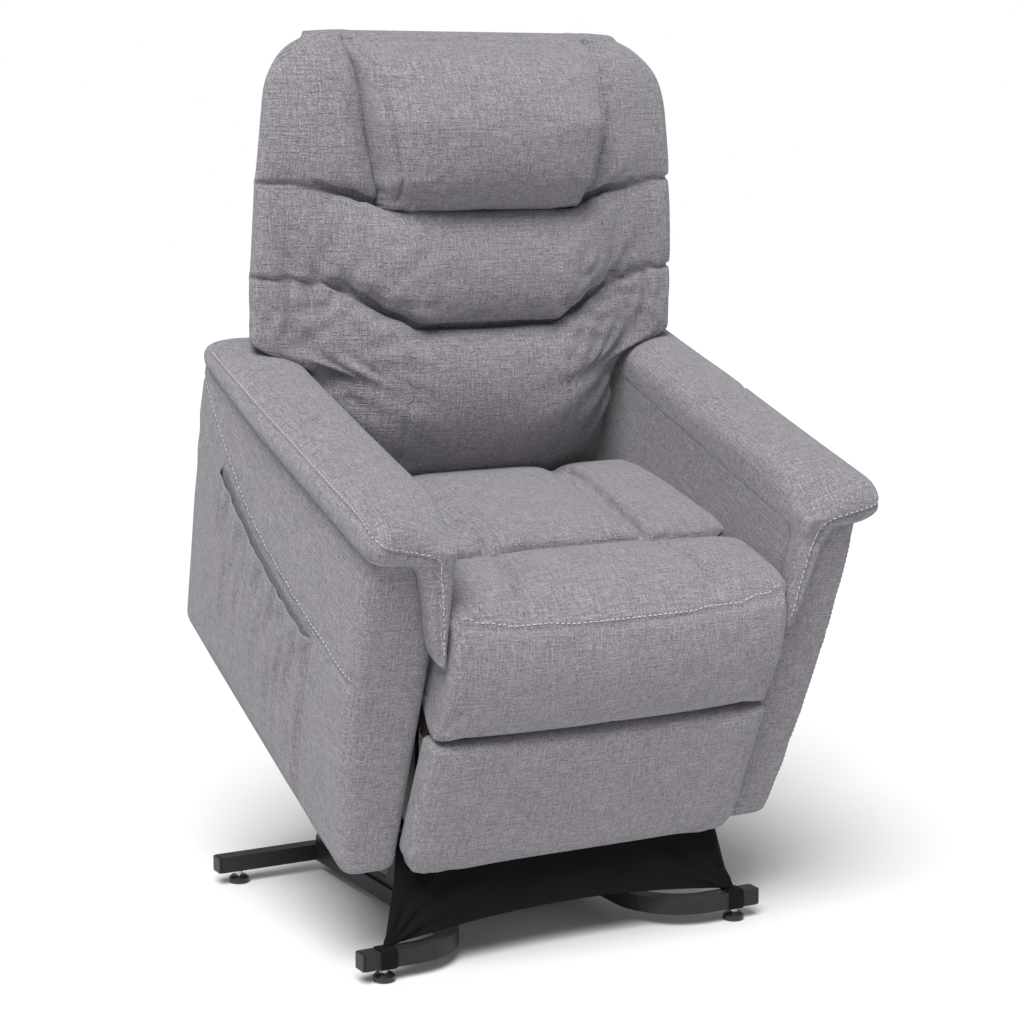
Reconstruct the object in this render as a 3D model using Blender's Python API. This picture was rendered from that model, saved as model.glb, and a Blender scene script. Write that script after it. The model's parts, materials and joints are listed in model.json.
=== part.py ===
"""Lift recliner chair, standing at the raised end of its lift.

Design coordinates: metres, X to the chair's left-hand side as seen from the front, -Y forward,
+Z up, floor at z = 0. The base is modelled where it stands. Everything the lift carries is
modelled as the chair sits when lowered, and its empties then tilt it to the raised position.
"""
import math

import bmesh
import bpy
from mathutils import Vector

# ---------------------------------------------------------------- driving dimensions
GAP = 0.0003                     # air left between pieces that touch
TUBE = 0.025                     # square base tube
TUBE_WALL = 0.002
TUBE_Z = 0.0335                  # height of the base tubes' centre line
RAIL_X = 0.151                   # side rails, centre line
FRONT_Y = -0.303                 # front outriggers
REAR_Y = 0.223                   # rear cross tube
OUTRIGGER_X = 0.324              # where the outrigger tubes end
BEND_RADIUS = 0.090
FOOT_X = 0.290
FOOT_RADIUS = 0.016

# lift linkage, side view (y, z), with the chair lowered
ARM_PIVOT = (0.200, 0.065)       # lift arm on the base
LINK_PIVOT = (-0.0633, 0.080)    # front link on the base
CHAIR_PIVOT = (-0.2003, 0.105)   # lift arm to the chair
LINK_EYE = (-0.300, 0.1133)      # front link to the chair
ARM_SWEEP = -26.92               # turns from lowered to raised, about +X
LINK_SWEEP = -36.74
CHAIR_SWEEP = 24.4
PIN = 0.007                      # pivot pin radius
RUN = 0.0003                     # running clearance of pins
OPEN_RUN = 0.0034                # clearance of the front link's free eye
TORQUE_RADIUS = 0.0125           # tube that joins the two lift arms

# lift drive
MOTOR_PIVOT = (-0.064, 0.0595)
HORN_EYE = (0.096, 0.198)        # on the lift arm, chair lowered
DRIVE_PIN = 0.0045

# footrest linkage, closed
THIGH_PIVOT = (-0.267, 0.2235)
KNEE = (-0.3224, 0.0884)
ANKLE = (-0.3668, 0.2277)
THIGH_RADIUS = 0.011             # tube that joins the two upper links
FOOTREST_PIN = 0.005

# back
BACK_PIVOT = (0.165, 0.335)
BACK_SLOPE = 22.0
PAD_REAR = -0.0253               # where the back's pads stop, just ahead of its frame

# upholstery
ARM_INNER = 0.268
ARM_BOTTOM_Z = 0.050
ARM_OUT_BOTTOM, ARM_OUT_TOP = 0.349, 0.388
ARM_FRONT_BOTTOM, ARM_FRONT_TOP = -0.399, -0.361
ARM_REAR = 0.244
ARM_TOP_FRONT, ARM_TOP_REAR = 0.552, 0.505
COVER = 0.012                    # side covers and pocket stand this far off the arm body
SEAT_HALF = 0.262
BACK_HALF = 0.360
BACK_FRONT = -0.130
BACK_TAPER = 1.25                # share of the width lost per metre of depth
WAIST_HALF = 0.255

# the finished object stands with its outline's middle over the origin
ORIGIN_SHIFT = 0.1114

SIDES = (("left", 1.0), ("right", -1.0))


# ---------------------------------------------------------------- scene and materials
def clear_scene():
    for obj in list(bpy.data.objects):
        bpy.data.objects.remove(obj, do_unlink=True)


def material(name, colour, roughness, metallic=0.0):
    mat = bpy.data.materials.new(name)
    mat.use_nodes = True
    shader = mat.node_tree.nodes["Principled BSDF"]
    shader.inputs["Base Color"].default_value = (*colour, 1.0)
    shader.inputs["Roughness"].default_value = roughness
    shader.inputs["Metallic"].default_value = metallic
    return mat


clear_scene()
FABRIC = ("grey_fabric", (0.25, 0.235, 0.25), 0.95)
LINING = ("black_cloth", (0.012, 0.012, 0.013), 0.9)
POWDER = ("black_powder_coat", (0.015, 0.015, 0.016), 0.42, 0.3)
STEEL = ("zinc_steel", (0.55, 0.56, 0.58), 0.35, 1.0)
PLASTIC = ("black_plastic", (0.02, 0.02, 0.022), 0.5)
TIMBER = ("plywood", (0.52, 0.38, 0.23), 0.7)
WEBBING = ("deck_webbing", (0.10, 0.10, 0.11), 0.9)


# ---------------------------------------------------------------- frames
def turned(point, degrees):
    """A side-view point turned about +X."""
    angle = math.radians(degrees)
    y, z = point
    return (y * math.cos(angle) - z * math.sin(angle), y * math.sin(angle) + z * math.cos(angle))


def moved(point, centre, degrees):
    y, z = turned((point[0] - centre[0], point[1] - centre[1]), degrees)
    return (centre[0] + y, centre[1] + z)


ORIGIN = bpy.data.objects.new("floor_origin", None)
ORIGIN.location = (0.0, ORIGIN_SHIFT, 0.0)
bpy.context.scene.collection.objects.link(ORIGIN)


class Frame:
    """An empty on a joint axis. `pivot` is its place in its pieces' design coordinates."""

    def __init__(self, name, place, tilt=0.0, pivot=(0.0, 0.0), parent=None):
        self.empty = bpy.data.objects.new(name, None)
        bpy.context.scene.collection.objects.link(self.empty)
        self.pivot = pivot
        if parent is None:
            self.empty.parent = ORIGIN
            self.empty.location = (0.0, *place)
        else:
            self.empty.parent = parent.empty
            self.empty.location = (0.0, place[0] - parent.pivot[0], place[1] - parent.pivot[1])
        self.empty.rotation_euler = (math.radians(tilt), 0.0, 0.0)


def heading(start, end):
    return math.degrees(math.atan2(end[1] - start[1], end[0] - start[0]))


CHAIR_RAISED = moved(CHAIR_PIVOT, ARM_PIVOT, ARM_SWEEP)
HORN_RAISED = moved(HORN_EYE, ARM_PIVOT, ARM_SWEEP)

BASE = Frame("base_frame", (0.0, 0.0))
ARM = Frame("lift_arm_axis", ARM_PIVOT, ARM_SWEEP, ARM_PIVOT)
LINK = Frame("front_link_axis", LINK_PIVOT, LINK_SWEEP, LINK_PIVOT)
MOTOR = Frame("lift_motor_axis", MOTOR_PIVOT, heading(MOTOR_PIVOT, HORN_RAISED))
CHAIR = Frame("chair_axis", CHAIR_RAISED, CHAIR_SWEEP, CHAIR_PIVOT)
BACK = Frame("back_axis", BACK_PIVOT, -BACK_SLOPE, parent=CHAIR)
THIGH = Frame("footrest_upper_axis", THIGH_PIVOT, 0.0, THIGH_PIVOT, CHAIR)
SHIN = Frame("footrest_lower_axis", KNEE, 0.0, KNEE, THIGH)
PANEL = Frame("footrest_panel_axis", ANKLE, 0.0, ANKLE, SHIN)


# ---------------------------------------------------------------- modelling tools
def add(name, mesh, finish, frame, round_faces=False):
    """Make one named piece from a bmesh drawn in the frame's design coordinates."""
    bmesh.ops.translate(mesh, verts=mesh.verts, vec=(0.0, -frame.pivot[0], -frame.pivot[1]))
    bmesh.ops.recalc_face_normals(mesh, faces=mesh.faces)
    data = bpy.data.meshes.new(name)
    mesh.to_mesh(data)
    mesh.free()
    if round_faces:
        data.shade_smooth()
        data.set_sharp_from_angle(angle=math.radians(35))
    data.materials.append(bpy.data.materials.get(finish[0]) or material(*finish))
    obj = bpy.data.objects.new(name, data)
    bpy.context.scene.collection.objects.link(obj)
    obj.parent = frame.empty
    return obj


def bevel(obj, width, segments=2, angle=40):
    mod = obj.modifiers.new("rounded edges", "BEVEL")
    mod.width = width
    mod.segments = segments
    mod.limit_method = "ANGLE"
    mod.angle_limit = math.radians(angle)
    return obj


def boolean(obj, mesh, operation, frame):
    """Join or cut a piece with a second shape drawn in the same design coordinates."""
    tool = add("%s_tool_%d" % (obj.name, len(obj.modifiers)), mesh, PLASTIC, frame)
    tool.hide_render = True
    tool.display_type = "WIRE"
    mod = obj.modifiers.new(operation.lower(), "BOOLEAN")
    mod.operation = operation
    mod.object = tool
    mod.solver = "EXACT"
    return obj


def loft(rings, closed_ends=True):
    """A skin over rings of equal point count."""
    mesh = bmesh.new()
    loops = [[mesh.verts.new(p) for p in ring] for ring in rings]
    count = len(loops[0])
    for low, high in zip(loops, loops[1:]):
        for i in range(count):
            j = (i + 1) % count
            mesh.faces.new((low[i], low[j], high[j], high[i]))
    if closed_ends:
        mesh.faces.new(loops[0])
        mesh.faces.new(loops[-1])
    return mesh


def block(xs, ys, zs):
    corners = ((xs[0], ys[0]), (xs[1], ys[0]), (xs[1], ys[1]), (xs[0], ys[1]))
    return loft([[(x, y, z) for x, y in corners] for z in zs])


def prism(outline, x0, x1, holes=()):
    """A flat plate: a side-view outline with round holes, from x0 to x1."""
    mesh = bmesh.new()
    edges = []
    loops = [outline] + [arc((y, z), r, 0, 360, 20)[:-1] for y, z, r in holes]
    for points in loops:
        verts = [mesh.verts.new((x0, y, z)) for y, z in points]
        edges += [mesh.edges.new((a, b)) for a, b in zip(verts, verts[1:] + verts[:1])]
    bmesh.ops.triangle_fill(mesh, edges=edges, use_beauty=True, use_dissolve=False)
    grown = bmesh.ops.extrude_face_region(mesh, geom=list(mesh.faces), use_keep_orig=True)
    top = [v for v in grown["geom"] if isinstance(v, bmesh.types.BMVert)]
    bmesh.ops.translate(mesh, verts=top, vec=(x1 - x0, 0.0, 0.0))
    return mesh


def arc(centre, radius, start, end, steps):
    angles = [math.radians(start + (end - start) * i / steps) for i in range(steps + 1)]
    return [(centre[0] + radius * math.cos(a), centre[1] + radius * math.sin(a)) for a in angles]


def bar_outline(points, radius):
    """A bar with round ends through two points."""
    (y0, z0), (y1, z1) = points
    along = heading((y0, z0), (y1, z1))
    return arc((y0, z0), radius, along + 90, along + 270, 10) + \
        arc((y1, z1), radius, along - 90, along + 90, 10)


def cylinder(axis, start, end, centre, radius, bore=0.0, steps=20):
    """A rod or tube along X, Y or Z (axis 0, 1 or 2)."""
    def ring(along, r):
        points = []
        for a, b in arc(centre, r, 0, 360, steps)[:-1]:
            point = [a, b]
            point.insert(axis, along)
            points.append(tuple(point))
        return points
    if not bore:
        return loft([ring(start, radius), ring(end, radius)])
    mesh = loft([ring(start, bore), ring(start, radius), ring(end, radius), ring(end, bore),
                 ring(start, bore)], closed_ends=False)
    bmesh.ops.remove_doubles(mesh, verts=mesh.verts, dist=0.000001)
    return mesh


def square_tube(path, size, wall):
    """A hollow square tube along a level path of (x, y) points."""
    rings = []
    for i, (x, y) in enumerate(path):
        before, after = path[max(i - 1, 0)], path[min(i + 1, len(path) - 1)]
        ahead = Vector((after[0] - before[0], after[1] - before[1])).normalized()
        side = Vector((ahead.y, -ahead.x))
        loops = []
        for half in (size / 2, size / 2 - wall):
            corners = ((-half, -half), (half, -half), (half, half), (-half, half))
            loops.append([(x + side.x * s, y + side.y * s, TUBE_Z + h) for s, h in corners])
        rings.append(loops)
    outer = [loops[0] for loops in rings]
    inner = [loops[1] for loops in reversed(rings)]
    mesh = loft(outer + inner + [outer[0]], closed_ends=False)
    bmesh.ops.remove_doubles(mesh, verts=mesh.verts, dist=0.000001)
    return mesh


def turned_profile(profile, centre, steps=24):
    """A round piece: (radius, z) points about an upright axis."""
    x, y = centre
    return loft([[(x + r * math.cos(2 * math.pi * i / steps),
                   y + r * math.sin(2 * math.pi * i / steps), z) for i in range(steps)]
                 for r, z in profile])


def rounded_rectangle(a0, a1, b0, b1, radius, steps=4):
    corners = (((a1 - radius, b1 - radius), 0), ((a0 + radius, b1 - radius), 90),
               ((a0 + radius, b0 + radius), 180), ((a1 - radius, b0 + radius), 270))
    return [p for centre, start in corners for p in arc(centre, radius, start, start + 90, steps)]


# ---------------------------------------------------------------- base
def build_base():
    half = TUBE / 2
    rear = [(-OUTRIGGER_X, REAR_Y), (OUTRIGGER_X, REAR_Y)]
    add("base_rear_cross_tube", square_tube(rear, TUBE, TUBE_WALL), POWDER, BASE)
    rail_inside = RAIL_X - half - GAP
    middle = [(-rail_inside, MOTOR_PIVOT[0]), (rail_inside, MOTOR_PIVOT[0])]
    add("base_motor_cross_tube", square_tube(middle, TUBE, TUBE_WALL), POWDER, BASE)
    for side, s in SIDES:
        bend_x, bend_y = RAIL_X + BEND_RADIUS, FRONT_Y + BEND_RADIUS
        bend = [(bend_x - BEND_RADIUS * math.cos(a), bend_y - BEND_RADIUS * math.sin(a))
                for a in (math.radians(9 * i) for i in range(11))]
        path = [(RAIL_X, REAR_Y - half - GAP)] + bend + [(OUTRIGGER_X, FRONT_Y)]
        rail = square_tube([(s * x, y) for x, y in path], TUBE, TUBE_WALL)
        add("base_side_rail_" + side, rail, POWDER, BASE)
        for end, y in (("front", FRONT_Y), ("rear", REAR_Y)):
            inner, outer = OUTRIGGER_X + GAP, OUTRIGGER_X + 0.004
            cap = block(sorted((s * inner, s * outer)), (y - half, y + half),
                        (TUBE_Z - half, TUBE_Z + half))
            bevel(add("tube_end_cap_%s_%s" % (end, side), cap, PLASTIC, BASE), 0.0012, 1)
            stem = TUBE_Z - half - GAP
            profile = [(FOOT_RADIUS - 0.003, 0.0), (FOOT_RADIUS, 0.003), (FOOT_RADIUS, 0.0085),
                       (FOOT_RADIUS - 0.004, 0.012), (0.0065, 0.0125), (0.006, 0.0135),
                       (0.006, stem)]
            add("levelling_foot_%s_%s" % (end, side), turned_profile(profile, (s * FOOT_X, y)),
                PLASTIC, BASE, True)
        build_base_brackets(side, s)
    build_motor_bracket()


def build_base_brackets(side, s):
    """One plate welded along each rail, with a hump and a stub pin for each pivot."""
    foot = TUBE_Z + TUBE / 2 + GAP
    low = foot + 0.009
    outline = [(-0.098, foot), (0.222, foot), (0.222, low)]
    outline += arc(ARM_PIVOT, 0.015, 0, 180, 12) + [(0.172, low), (-0.035, low)]
    outline += arc(LINK_PIVOT, 0.017, 0, 180, 12) + [(-0.098, low)]
    plate = prism(outline, s * 0.150, s * 0.158)
    bracket = add("pivot_plate_" + side, plate, POWDER, BASE)
    boolean(bracket, cylinder(0, s * 0.1395, s * 0.154, LINK_PIVOT, PIN), "UNION", BASE)
    boolean(bracket, cylinder(0, s * 0.108, s * 0.154, ARM_PIVOT, PIN), "UNION", BASE)


def build_motor_bracket():
    """A clevis on the motor cross tube: one bent plate with a pin across it."""
    foot = TUBE_Z + TUBE / 2 + GAP
    y, z = MOTOR_PIVOT
    outline = [(y - 0.011, foot), (y + 0.011, foot)] + arc(MOTOR_PIVOT, 0.011, 0, 180, 12)
    clevis = prism(outline, -0.021, 0.021)
    bracket = add("lift_motor_clevis", clevis, POWDER, BASE)
    slot = block((-0.014, 0.014), (y - 0.05, y + 0.05), (foot + 0.0025, z + 0.05))
    boolean(bracket, slot, "DIFFERENCE", BASE)
    boolean(bracket, cylinder(0, -0.018, 0.018, MOTOR_PIVOT, DRIVE_PIN), "UNION", BASE)


# ---------------------------------------------------------------- lift linkage and drive
def build_lift():
    torque = cylinder(0, -0.1385, 0.1385, ARM_PIVOT, TORQUE_RADIUS, PIN + RUN)
    add("lift_torque_tube", torque, POWDER, ARM, True)
    for side, s in SIDES:
        outline = bar_outline((ARM_PIVOT, CHAIR_PIVOT), 0.017)
        holes = ((*ARM_PIVOT, TORQUE_RADIUS + GAP), (*CHAIR_PIVOT, PIN + RUN))
        add("lift_arm_" + side, prism(outline, s * 0.118, s * 0.126, holes), POWDER, ARM)
        outline = bar_outline((LINK_PIVOT, LINK_EYE), 0.0165)
        holes = ((*LINK_PIVOT, PIN + RUN), (*LINK_EYE, PIN + OPEN_RUN))
        add("front_link_" + side, prism(outline, s * 0.1405, s * 0.1485, holes), POWDER, LINK)
    horn = prism(bar_outline((ARM_PIVOT, HORN_EYE), 0.016), -0.0170, 0.0170,
                 ((*ARM_PIVOT, TORQUE_RADIUS + GAP),))
    lever = add("lift_horn", horn, POWDER, ARM)
    slot = prism(bar_outline((HORN_EYE, (0.158, 0.119)), 0.030), -0.0105, 0.0105)
    boolean(lever, slot, "DIFFERENCE", ARM)
    boolean(lever, cylinder(0, -0.014, 0.014, HORN_EYE, DRIVE_PIN), "UNION", ARM)


def build_lift_drive():
    """A screw drive along +Y of its frame: steel tube, gearbox with motor, and sliding rod."""
    tube_radius, rod_radius, tube_end = 0.014, 0.0085, 0.165
    tube = cylinder(1, 0.0240, tube_end, (0.0, 0.0), tube_radius, rod_radius + 0.0006)
    add("lift_drive_tube", tube, STEEL, MOTOR, True)
    eye = prism(bar_outline(((0.0, 0.0), (0.010, 0.0)), 0.0095), -0.0095, 0.0095,
                ((0.0, 0.0, DRIVE_PIN + RUN),))
    gearbox = add("lift_drive_motor", eye, PLASTIC, MOTOR)
    boolean(gearbox, block((-0.020, 0.020), (0.0140, 0.0237), (-0.013, 0.056)), "UNION", MOTOR)
    boolean(gearbox, cylinder(1, 0.020, 0.130, (0.0, 0.037), 0.0185), "UNION", MOTOR)
    reach = math.dist(MOTOR_PIVOT, HORN_RAISED)
    rod_start = 0.105
    rod = add("lift_drive_rod", cylinder(1, rod_start, reach - 0.0100, (0.0, 0.0), rod_radius),
              STEEL, MOTOR)
    boss = prism(arc((reach, 0.0), 0.0125, 0, 360, 20)[:-1], -0.0095, 0.0095)
    boolean(rod, boss, "UNION", MOTOR)
    boolean(rod, cylinder(0, -0.02, 0.02, (reach, 0.0), DRIVE_PIN + OPEN_RUN), "DIFFERENCE", MOTOR)


# ---------------------------------------------------------------- chair chassis
def build_chassis():
    for side, s in SIDES:
        side_plate = [(-0.322, 0.093), (0.150, 0.093), (0.150, 0.130), (0.098, 0.232),
                      (-0.218, 0.232), (-0.322, 0.134)]
        rail = add("chassis_plate_" + side, prism(side_plate, s * 0.1325, s * 0.1375),
                   POWDER, CHAIR)
        boolean(rail, cylinder(0, s * 0.115, s * 0.135, CHAIR_PIVOT, PIN), "UNION", CHAIR)
        boolean(rail, cylinder(0, s * 0.135, s * 0.1495, LINK_EYE, PIN), "UNION", CHAIR)
        plate = [(-0.245, 0.2550), (0.118, 0.2550)] + arc(BACK_PIVOT, 0.020, -60, 120, 10)
        plate += [(0.050, 0.318), (-0.3590, 0.318), (-0.3590, 0.262)]
        plate += arc(THIGH_PIVOT, 0.021, 180, 360, 12)[:12]
        hinge = add("seat_side_plate_" + side,
                    prism(plate, s * 0.2297, s * 0.2357, ((*THIGH_PIVOT, THIGH_RADIUS + RUN),)),
                    POWDER, CHAIR)
        boolean(hinge, cylinder(0, s * 0.1920, s * 0.2330, BACK_PIVOT, PIN), "UNION", CHAIR)
    for end, y in (("front", -0.198), ("rear", 0.062)):
        cross = block((-0.2677, 0.2677), (y - 0.010, y + 0.010), (0.2323, 0.2547))
        bevel(add("seat_cross_bar_" + end, cross, POWDER, CHAIR), 0.002, 1)
    front = block((-0.2560, 0.2560), (-0.3813, -0.3593), (0.2650, 0.3297))
    add("seat_front_rail", front, TIMBER, CHAIR)
    deck = block((-0.2290, 0.2290), (-0.3580, 0.075), (0.3205, 0.3265))
    add("seat_spring_deck", deck, WEBBING, CHAIR)
    supply = block((0.165, 0.225), (-0.080, 0.050), (0.185, 0.2300))
    bevel(add("power_supply", supply, PLASTIC, CHAIR), 0.005, 2)


# ---------------------------------------------------------------- seat and arms
def build_seat():
    top = [(0.052, 0.3305), (0.056, 0.395), (0.040, 0.412), (-0.233, 0.462), (-0.330, 0.476),
           (-0.378, 0.474), (-0.392, 0.462), (-0.3935, 0.3305)]
    seat = add("seat_cushion", prism(top, -SEAT_HALF, SEAT_HALF), FABRIC, CHAIR, True)
    bevel(seat, 0.012, 2)
    border = [(-0.3940, 0.293), (-0.3940, 0.472), (-0.412, 0.470), (-0.424, 0.440),
              (-0.429, 0.380), (-0.427, 0.320), (-0.418, 0.293)]
    front = add("seat_front_border", prism(border, -SEAT_HALF, SEAT_HALF), FABRIC, CHAIR, True)
    bevel(front, 0.006, 1)


def height_share(z):
    return (z - ARM_BOTTOM_Z) / (0.550 - ARM_BOTTOM_Z)


def side_face_x(z):
    """The arm's outer face leans outward as it rises."""
    return ARM_OUT_BOTTOM + (ARM_OUT_TOP - ARM_OUT_BOTTOM) * height_share(z)


def front_face_y(z):
    return ARM_FRONT_BOTTOM + (ARM_FRONT_TOP - ARM_FRONT_BOTTOM) * height_share(z)


def arm_top_z(y):
    share = (ARM_REAR - y) / (ARM_REAR - ARM_FRONT_TOP)
    return ARM_TOP_REAR + (ARM_TOP_FRONT - ARM_TOP_REAR) * share


def corner_share(x, radius=0.014, width=0.09):
    """Keep a unit rectangle's rounded corners round when it is stretched to the arm's width."""
    if x < 0.5:
        return min(x, radius) / width
    return 1.0 - min(1.0 - x, radius) / width


def build_arm_body(side, s):
    rings = []
    for share in (0.0, 0.25, 0.5, 0.75, 1.0):
        low_z = ARM_BOTTOM_Z + share * (ARM_TOP_FRONT - ARM_BOTTOM_Z)
        ring = []
        for x, y in rounded_rectangle(0.0, 1.0, front_face_y(low_z), ARM_REAR, 0.014, 3):
            z = ARM_BOTTOM_Z + share * (arm_top_z(y) - ARM_BOTTOM_Z)
            outer = side_face_x(z) - COVER - GAP
            ring.append((s * (ARM_INNER + (outer - ARM_INNER) * corner_share(x)), y, z))
        rings.append(ring)
    add("arm_body_" + side, loft(rings), FABRIC, CHAIR, True)


def side_slab(outline, inner, outer):
    """A slab on the arm's leaning outer face; depths run inward from the outer face."""
    mesh = prism(outline, 0.0, 1.0)
    for vert in mesh.verts:
        depth = inner + (outer - inner) * vert.co.x
        vert.co.x = side_face_x(vert.co.z) - depth
    return mesh


def mirrored(mesh, s):
    bmesh.ops.scale(mesh, verts=mesh.verts, vec=(s, 1.0, 1.0))
    return mesh


def build_side_covers():
    """The outer side panels, and the flat pocket sewn on the one to the occupant's right."""
    outline = [(ARM_REAR - 0.002, arm_top_z(ARM_REAR) - 0.002), (front_face_y(0.54) + 0.004, 0.540),
               (front_face_y(0.052) + 0.004, 0.052), (ARM_REAR - 0.002, 0.052)]
    for side, s in SIDES:
        slab = mirrored(side_slab(outline, COVER, 0.0), s)
        add("side_cover_" + side, slab, FABRIC, CHAIR)
    rear, front, low, foot_y = 0.128, -0.250, 0.058, -0.236
    mouth_rear, mouth_front = 0.402, 0.356
    pouch = [(rear, low), (rear, mouth_rear), (front, mouth_front), (foot_y, low)]
    pocket = add("side_pocket", mirrored(side_slab(pouch, -GAP, -0.0125), -1.0), FABRIC, CHAIR)
    seam = 0.010
    inside = [(rear - seam, low + seam), (rear - seam, mouth_rear + 0.05),
              (front + seam, mouth_front + 0.05), (foot_y + seam, low + seam)]
    cavity = mirrored(side_slab(inside, 0.010, -0.0103), -1.0)
    boolean(pocket, cavity, "DIFFERENCE", CHAIR)


def build_arm_cap(side, s):
    """The padded arm top: a low arch that rises toward the front and drops over its edge."""
    rings = []
    stations = ((0.250, 0.62), (0.240, 0.92), (0.215, 1.0), (0.05, 1.0), (-0.12, 1.0),
                (-0.28, 1.0), (-0.355, 1.0), (-0.377, 0.90), (-0.386, 0.62))
    for y, fullness in stations:
        base = arm_top_z(y) + GAP + 0.001
        rise = 0.050 + 0.018 * (0.244 - y) / 0.63
        outer = 0.384 + 0.013 * min(1.0, (0.26 - y) / 0.3)
        ring = []
        for x, z in rounded_rectangle(0.2645, outer, base, base + rise * fullness, 0.014, 4):
            ring.append((s * x, y, z))
        rings.append(ring)
    cap = add("arm_cap_" + side, loft(rings), FABRIC, CHAIR, True)
    wing = [(0.2650, 0.570), (0.3130, 0.570), (0.3130, 0.540), (0.3060, 0.500),
            (0.2890, 0.420), (0.2800, 0.411), (0.2700, 0.418), (0.2650, 0.450)]
    rings = []
    for depth in (0.0, 1.0):
        rings.append([(s * x, front_face_y(z) - 0.0006 - depth * (0.022 + 0.17 * (0.55 - z)), z)
                      for x, z in wing])
    boolean(cap, loft(rings), "UNION", CHAIR)


# ---------------------------------------------------------------- back
def back_slab(name, outline, front, rear, rounding=0.012, finish=FABRIC):
    """A slab of the back: an outline seen from the front, in the back's own tilted frame.

    The back narrows toward its rear, so that its frame passes between the arms.
    """
    rings = []
    for y in (front, rear):
        narrowing = 1.0 - BACK_TAPER * (y - BACK_FRONT)
        rings.append([(x * narrowing, y, z) for x, z in outline])
    piece = add(name, loft(rings), finish, BACK, rounding > 0.004)
    return bevel(piece, rounding, 2) if rounding else piece


def both_halves(points):
    """Close a front view outline given for x > 0, bottom to top."""
    return points + [(-x, z) for x, z in reversed(points)]


def build_back():
    wings = 0.240
    lower = both_halves([(0.240, 0.034), (WAIST_HALF, 0.060), (WAIST_HALF, wings),
                         (BACK_HALF - 0.006, wings), (BACK_HALF, wings + 0.012),
                         (BACK_HALF, 0.322), (0.240, 0.314), (0.118, 0.246)])
    back_slab("back_lumbar_cushion", lower, -0.148, PAD_REAR)
    middle = both_halves([(0.116, 0.2520), (0.238, 0.3200), (BACK_HALF, 0.3280),
                          (BACK_HALF, 0.456), (0.260, 0.455), (0.165, 0.424)])
    back_slab("back_middle_cushion", middle, -0.150, PAD_REAR)
    pillow = both_halves([(0.161, 0.4275), (0.172, 0.550), (0.212, 0.672)])
    back_slab("headrest_pillow", pillow, -0.148, PAD_REAR)
    for side, s in SIDES:
        bolster = [(0.166, 0.4285), (0.260, 0.459), (BACK_HALF, 0.460), (0.352, 0.580),
                   (0.332, 0.640), (0.300, 0.664), (0.216, 0.668), (0.1775, 0.550)]
        back_slab("back_bolster_" + side, [(s * x, z) for x, z in bolster], -0.116, PAD_REAR,
                  0.010)
    shell = both_halves([(0.2550, -0.100), (0.2650, -0.085), (0.2680, 0.045), (0.3000, 0.060),
                         (0.3000, wings - 0.006), (BACK_HALF - 0.004, wings + 0.010),
                         (BACK_HALF, 0.300), (BACK_HALF - 0.002, 0.560), (0.334, 0.645),
                         (0.300, 0.668)])
    back_slab("back_outer_shell", shell, 0.0145, 0.064)
    for side, s in SIDES:
        upright = block(sorted((s * 0.196, s * 0.216)), (-0.0250, 0.0), (-0.060, 0.640))
        stile = add("back_stile_" + side, upright, POWDER, BACK)
        boss = cylinder(0, s * 0.19, s * 0.2185, (0.0, 0.0), 0.0135)
        boolean(stile, boss, "UNION", BACK)
        bore = cylinder(0, s * 0.185, s * 0.230, (0.0, 0.0), PIN + RUN)
        boolean(stile, bore, "DIFFERENCE", BACK)
    for name, z in (("lower", 0.090), ("upper", 0.600)):
        rail = block((-0.1957, 0.1957), (-0.0250, -0.0030), (z, z + 0.040))
        add("back_rail_" + name, rail, TIMBER, BACK)


# ---------------------------------------------------------------- footrest
def build_footrest():
    torque = cylinder(0, -0.2352, 0.2352, THIGH_PIVOT, THIGH_RADIUS, 0.0085)
    add("footrest_torque_tube", torque, POWDER, THIGH, True)
    for side, s in SIDES:
        outline = bar_outline((THIGH_PIVOT, KNEE), 0.0145)
        holes = ((*THIGH_PIVOT, THIGH_RADIUS + GAP), (*KNEE, FOOTREST_PIN + RUN))
        add("footrest_upper_link_" + side, prism(outline, s * 0.2130, s * 0.2190, holes),
            POWDER, THIGH)
        outline = bar_outline((KNEE, ANKLE), 0.0120)
        lower = add("footrest_lower_link_" + side,
                    prism(outline, s * 0.2196, s * 0.2256, ((*ANKLE, FOOTREST_PIN + RUN),)), POWDER, SHIN)
        boolean(lower, cylinder(0, s * 0.2115, s * 0.2226, KNEE, FOOTREST_PIN), "UNION", SHIN)
    board = add("footrest_board", block((-0.245, 0.245), (-0.3980, -0.3835), (0.085, 0.268)),
                TIMBER, PANEL)
    for s in (1.0, -1.0):
        ear = [(-0.3900, 0.205), (-0.3900, 0.255)] + arc(ANKLE, 0.0115, 80, -80, 8)
        boolean(board, prism(ear, s * 0.2130, s * 0.2190), "UNION", PANEL)
        boolean(board, cylinder(0, s * 0.2160, s * 0.2270, ANKLE, FOOTREST_PIN), "UNION", PANEL)
    face = rounded_rectangle(-0.266, 0.266, 0.070, 0.280, 0.022, 4)
    rings = [[(x, y, z) for x, z in face] for y in (-0.4320, -0.3983)]
    bevel(add("footrest_pad", loft(rings), FABRIC, PANEL, True), 0.010, 2)


# ---------------------------------------------------------------- skirt
def build_skirt():
    """A stretch cloth from the front outriggers up behind the footrest, modelled 3 mm thick."""
    low, high = 0.0475, 0.188
    rings = []
    for z, half in ((low, 0.296), (0.085, 0.276), (0.142, 0.264), (high, 0.259)):
        y = -0.3020 + 0.020 * (z - low) / (high - low)
        rings.append([(-half, y - 0.0015, z), (half, y - 0.0015, z),
                      (half, y + 0.0015, z), (-half, y + 0.0015, z)])
    add("front_skirt", loft(rings), LINING, BASE)


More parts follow.
